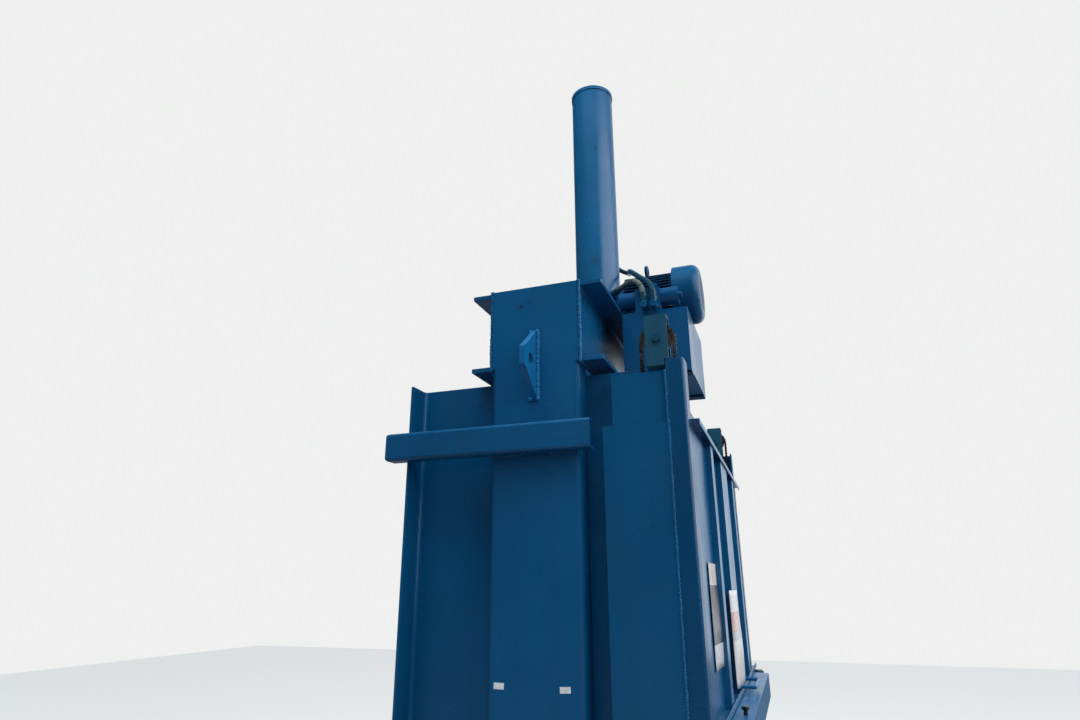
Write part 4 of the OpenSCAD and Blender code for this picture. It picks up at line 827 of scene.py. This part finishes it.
# Oil tank
# A folded and welded box with a black plastic filler cap. It stands on two angles that
# hang from the front channel.
tank_blue = (0.0015, 0.072, 0.190, 1)
support_blue = (0.008, 0.030, 0.055, 1)
enamel_tank = enamel(
    "enamel_tank", dust=0.10, scuffs=0.10, grime=0.12, colour=tank_blue, gloss=0.5)
coat(enamel_tank, "oil_tank", ease=0.003)
enamel_supports = enamel("enamel_supports", dust=0.35, scuffs=0.3, grime=0.9, colour=support_blue)
coat(enamel_supports, "tank_supports", ease=0.0012)
coat(black_moulding, "filler_cap", ease=0.0015)

# Motor and pump
# A cast motor with fins along it and a pressed cowl over its fan, in a darker blue; a gear
# pump stands on its rear end.
motor_blue = (0.0030, 0.036, 0.100, 1)
cowl_blue = (0.0010, 0.074, 0.185, 1)
enamel_motor = enamel(
    "enamel_motor", dust=0.10, scuffs=0.15, grime=0.5, colour=motor_blue, gloss=0.08)
coat(enamel_motor, "motor_body", ease=0.0008)
enamel_cowl = enamel(
    "enamel_cowl", dust=0.05, scuffs=0.10, grime=0.25, colour=cowl_blue, gloss=0.25)
coat(enamel_cowl, "fan_cowl")
coat(wheel_steel, "motor_rotor")
enamel_pump = enamel("enamel_pump", dust=0.15, scuffs=0.3, grime=0.5, colour=motor_blue)
coat(enamel_pump, "hydraulic_pump", ease=0.0012)

# Valve gear
# A ported steel block with a solenoid valve on it, sprayed with the machine. Each hose ends
# in a crimped ferrule and a hexagon nut, painted over too.
valve_blue = (0.0030, 0.085, 0.200, 1)
coil_blue = (0.0015, 0.066, 0.185, 1)
fitting_blue = (0.010, 0.062, 0.105, 1)
nut_length = 0.0130
nut_profile = ((0.0125, 0.0), (0.0150, 0.0012), (0.0150, 0.0125), (0.0125, 0.0137))
ferrule_profile = ((0.0112, 0.0), (0.0128, 0.0008), (0.0134, 0.0040), (0.0126, 0.0065),
                   (0.0134, 0.0090), (0.0126, 0.0115), (0.0134, 0.0140), (0.0126, 0.0165),
                   (0.0134, 0.0190), (0.0134, 0.0215), (0.0118, 0.0225))
enamel_valve = enamel("enamel_valve", dust=0.3, scuffs=0.3, grime=0.5, colour=valve_blue)
coat(enamel_valve, "valve_block", ease=0.0010)
enamel_coils = enamel("enamel_coils", dust=0.06, scuffs=0.10, grime=0.3, colour=coil_blue)
coat(enamel_coils, "solenoid_valve", ease=0.0015)

enamel_fittings = enamel("enamel_fittings", dust=0.25, scuffs=0.6, grime=0.7, colour=fitting_blue)
for route_name, route in (("down", down_route), ("pump", pump_route), ("up", up_route)):
    for end_name, last, inner in (("start", route[0], route[1]), ("end", route[-1], route[-2])):
        foot = Vector(last) * millimetre
        along = (Vector(inner) - Vector(last)).normalized()
        ending = route_name + "_" + end_name
        nut = turned("hose_nut_" + ending, nut_profile, sides=6, place=foot,
                     direction=along, smooth=20, look=enamel_fittings)
        sleeve = turned("hose_ferrule_" + ending, ferrule_profile, sides=28,
                        place=foot + along * nut_length, direction=along, smooth=50,
                        look=enamel_fittings)
        for fitting in (nut, sleeve):
            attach(fitting, "frame")

# Control cabinet
# A sheet-steel cabinet in textured powder coat, bolted to the far side, with moulded
# push buttons, an emergency stop and an isolator in its lid.
powder_grey = moulding("cabinet_powder_coat", (0.12, 0.135, 0.15, 1), rough=0.48, grain=0.5)
stop_red = moulding("stop_red", (0.55, 0.012, 0.010, 1), rough=0.26)
start_green = moulding("start_green", (0.015, 0.26, 0.055, 1), rough=0.28)
lift_black = moulding("lift_black", (0.014, 0.014, 0.015, 1), rough=0.28)
coat(powder_grey, "control_cabinet", "cabinet_door", ease=0.001)
coat(stop_red, "emergency_stop", "isolator_switch", ease=0.0012)
coat(start_green, "down_button", ease=0.0012)
coat(lift_black, "up_button", ease=0.0012)
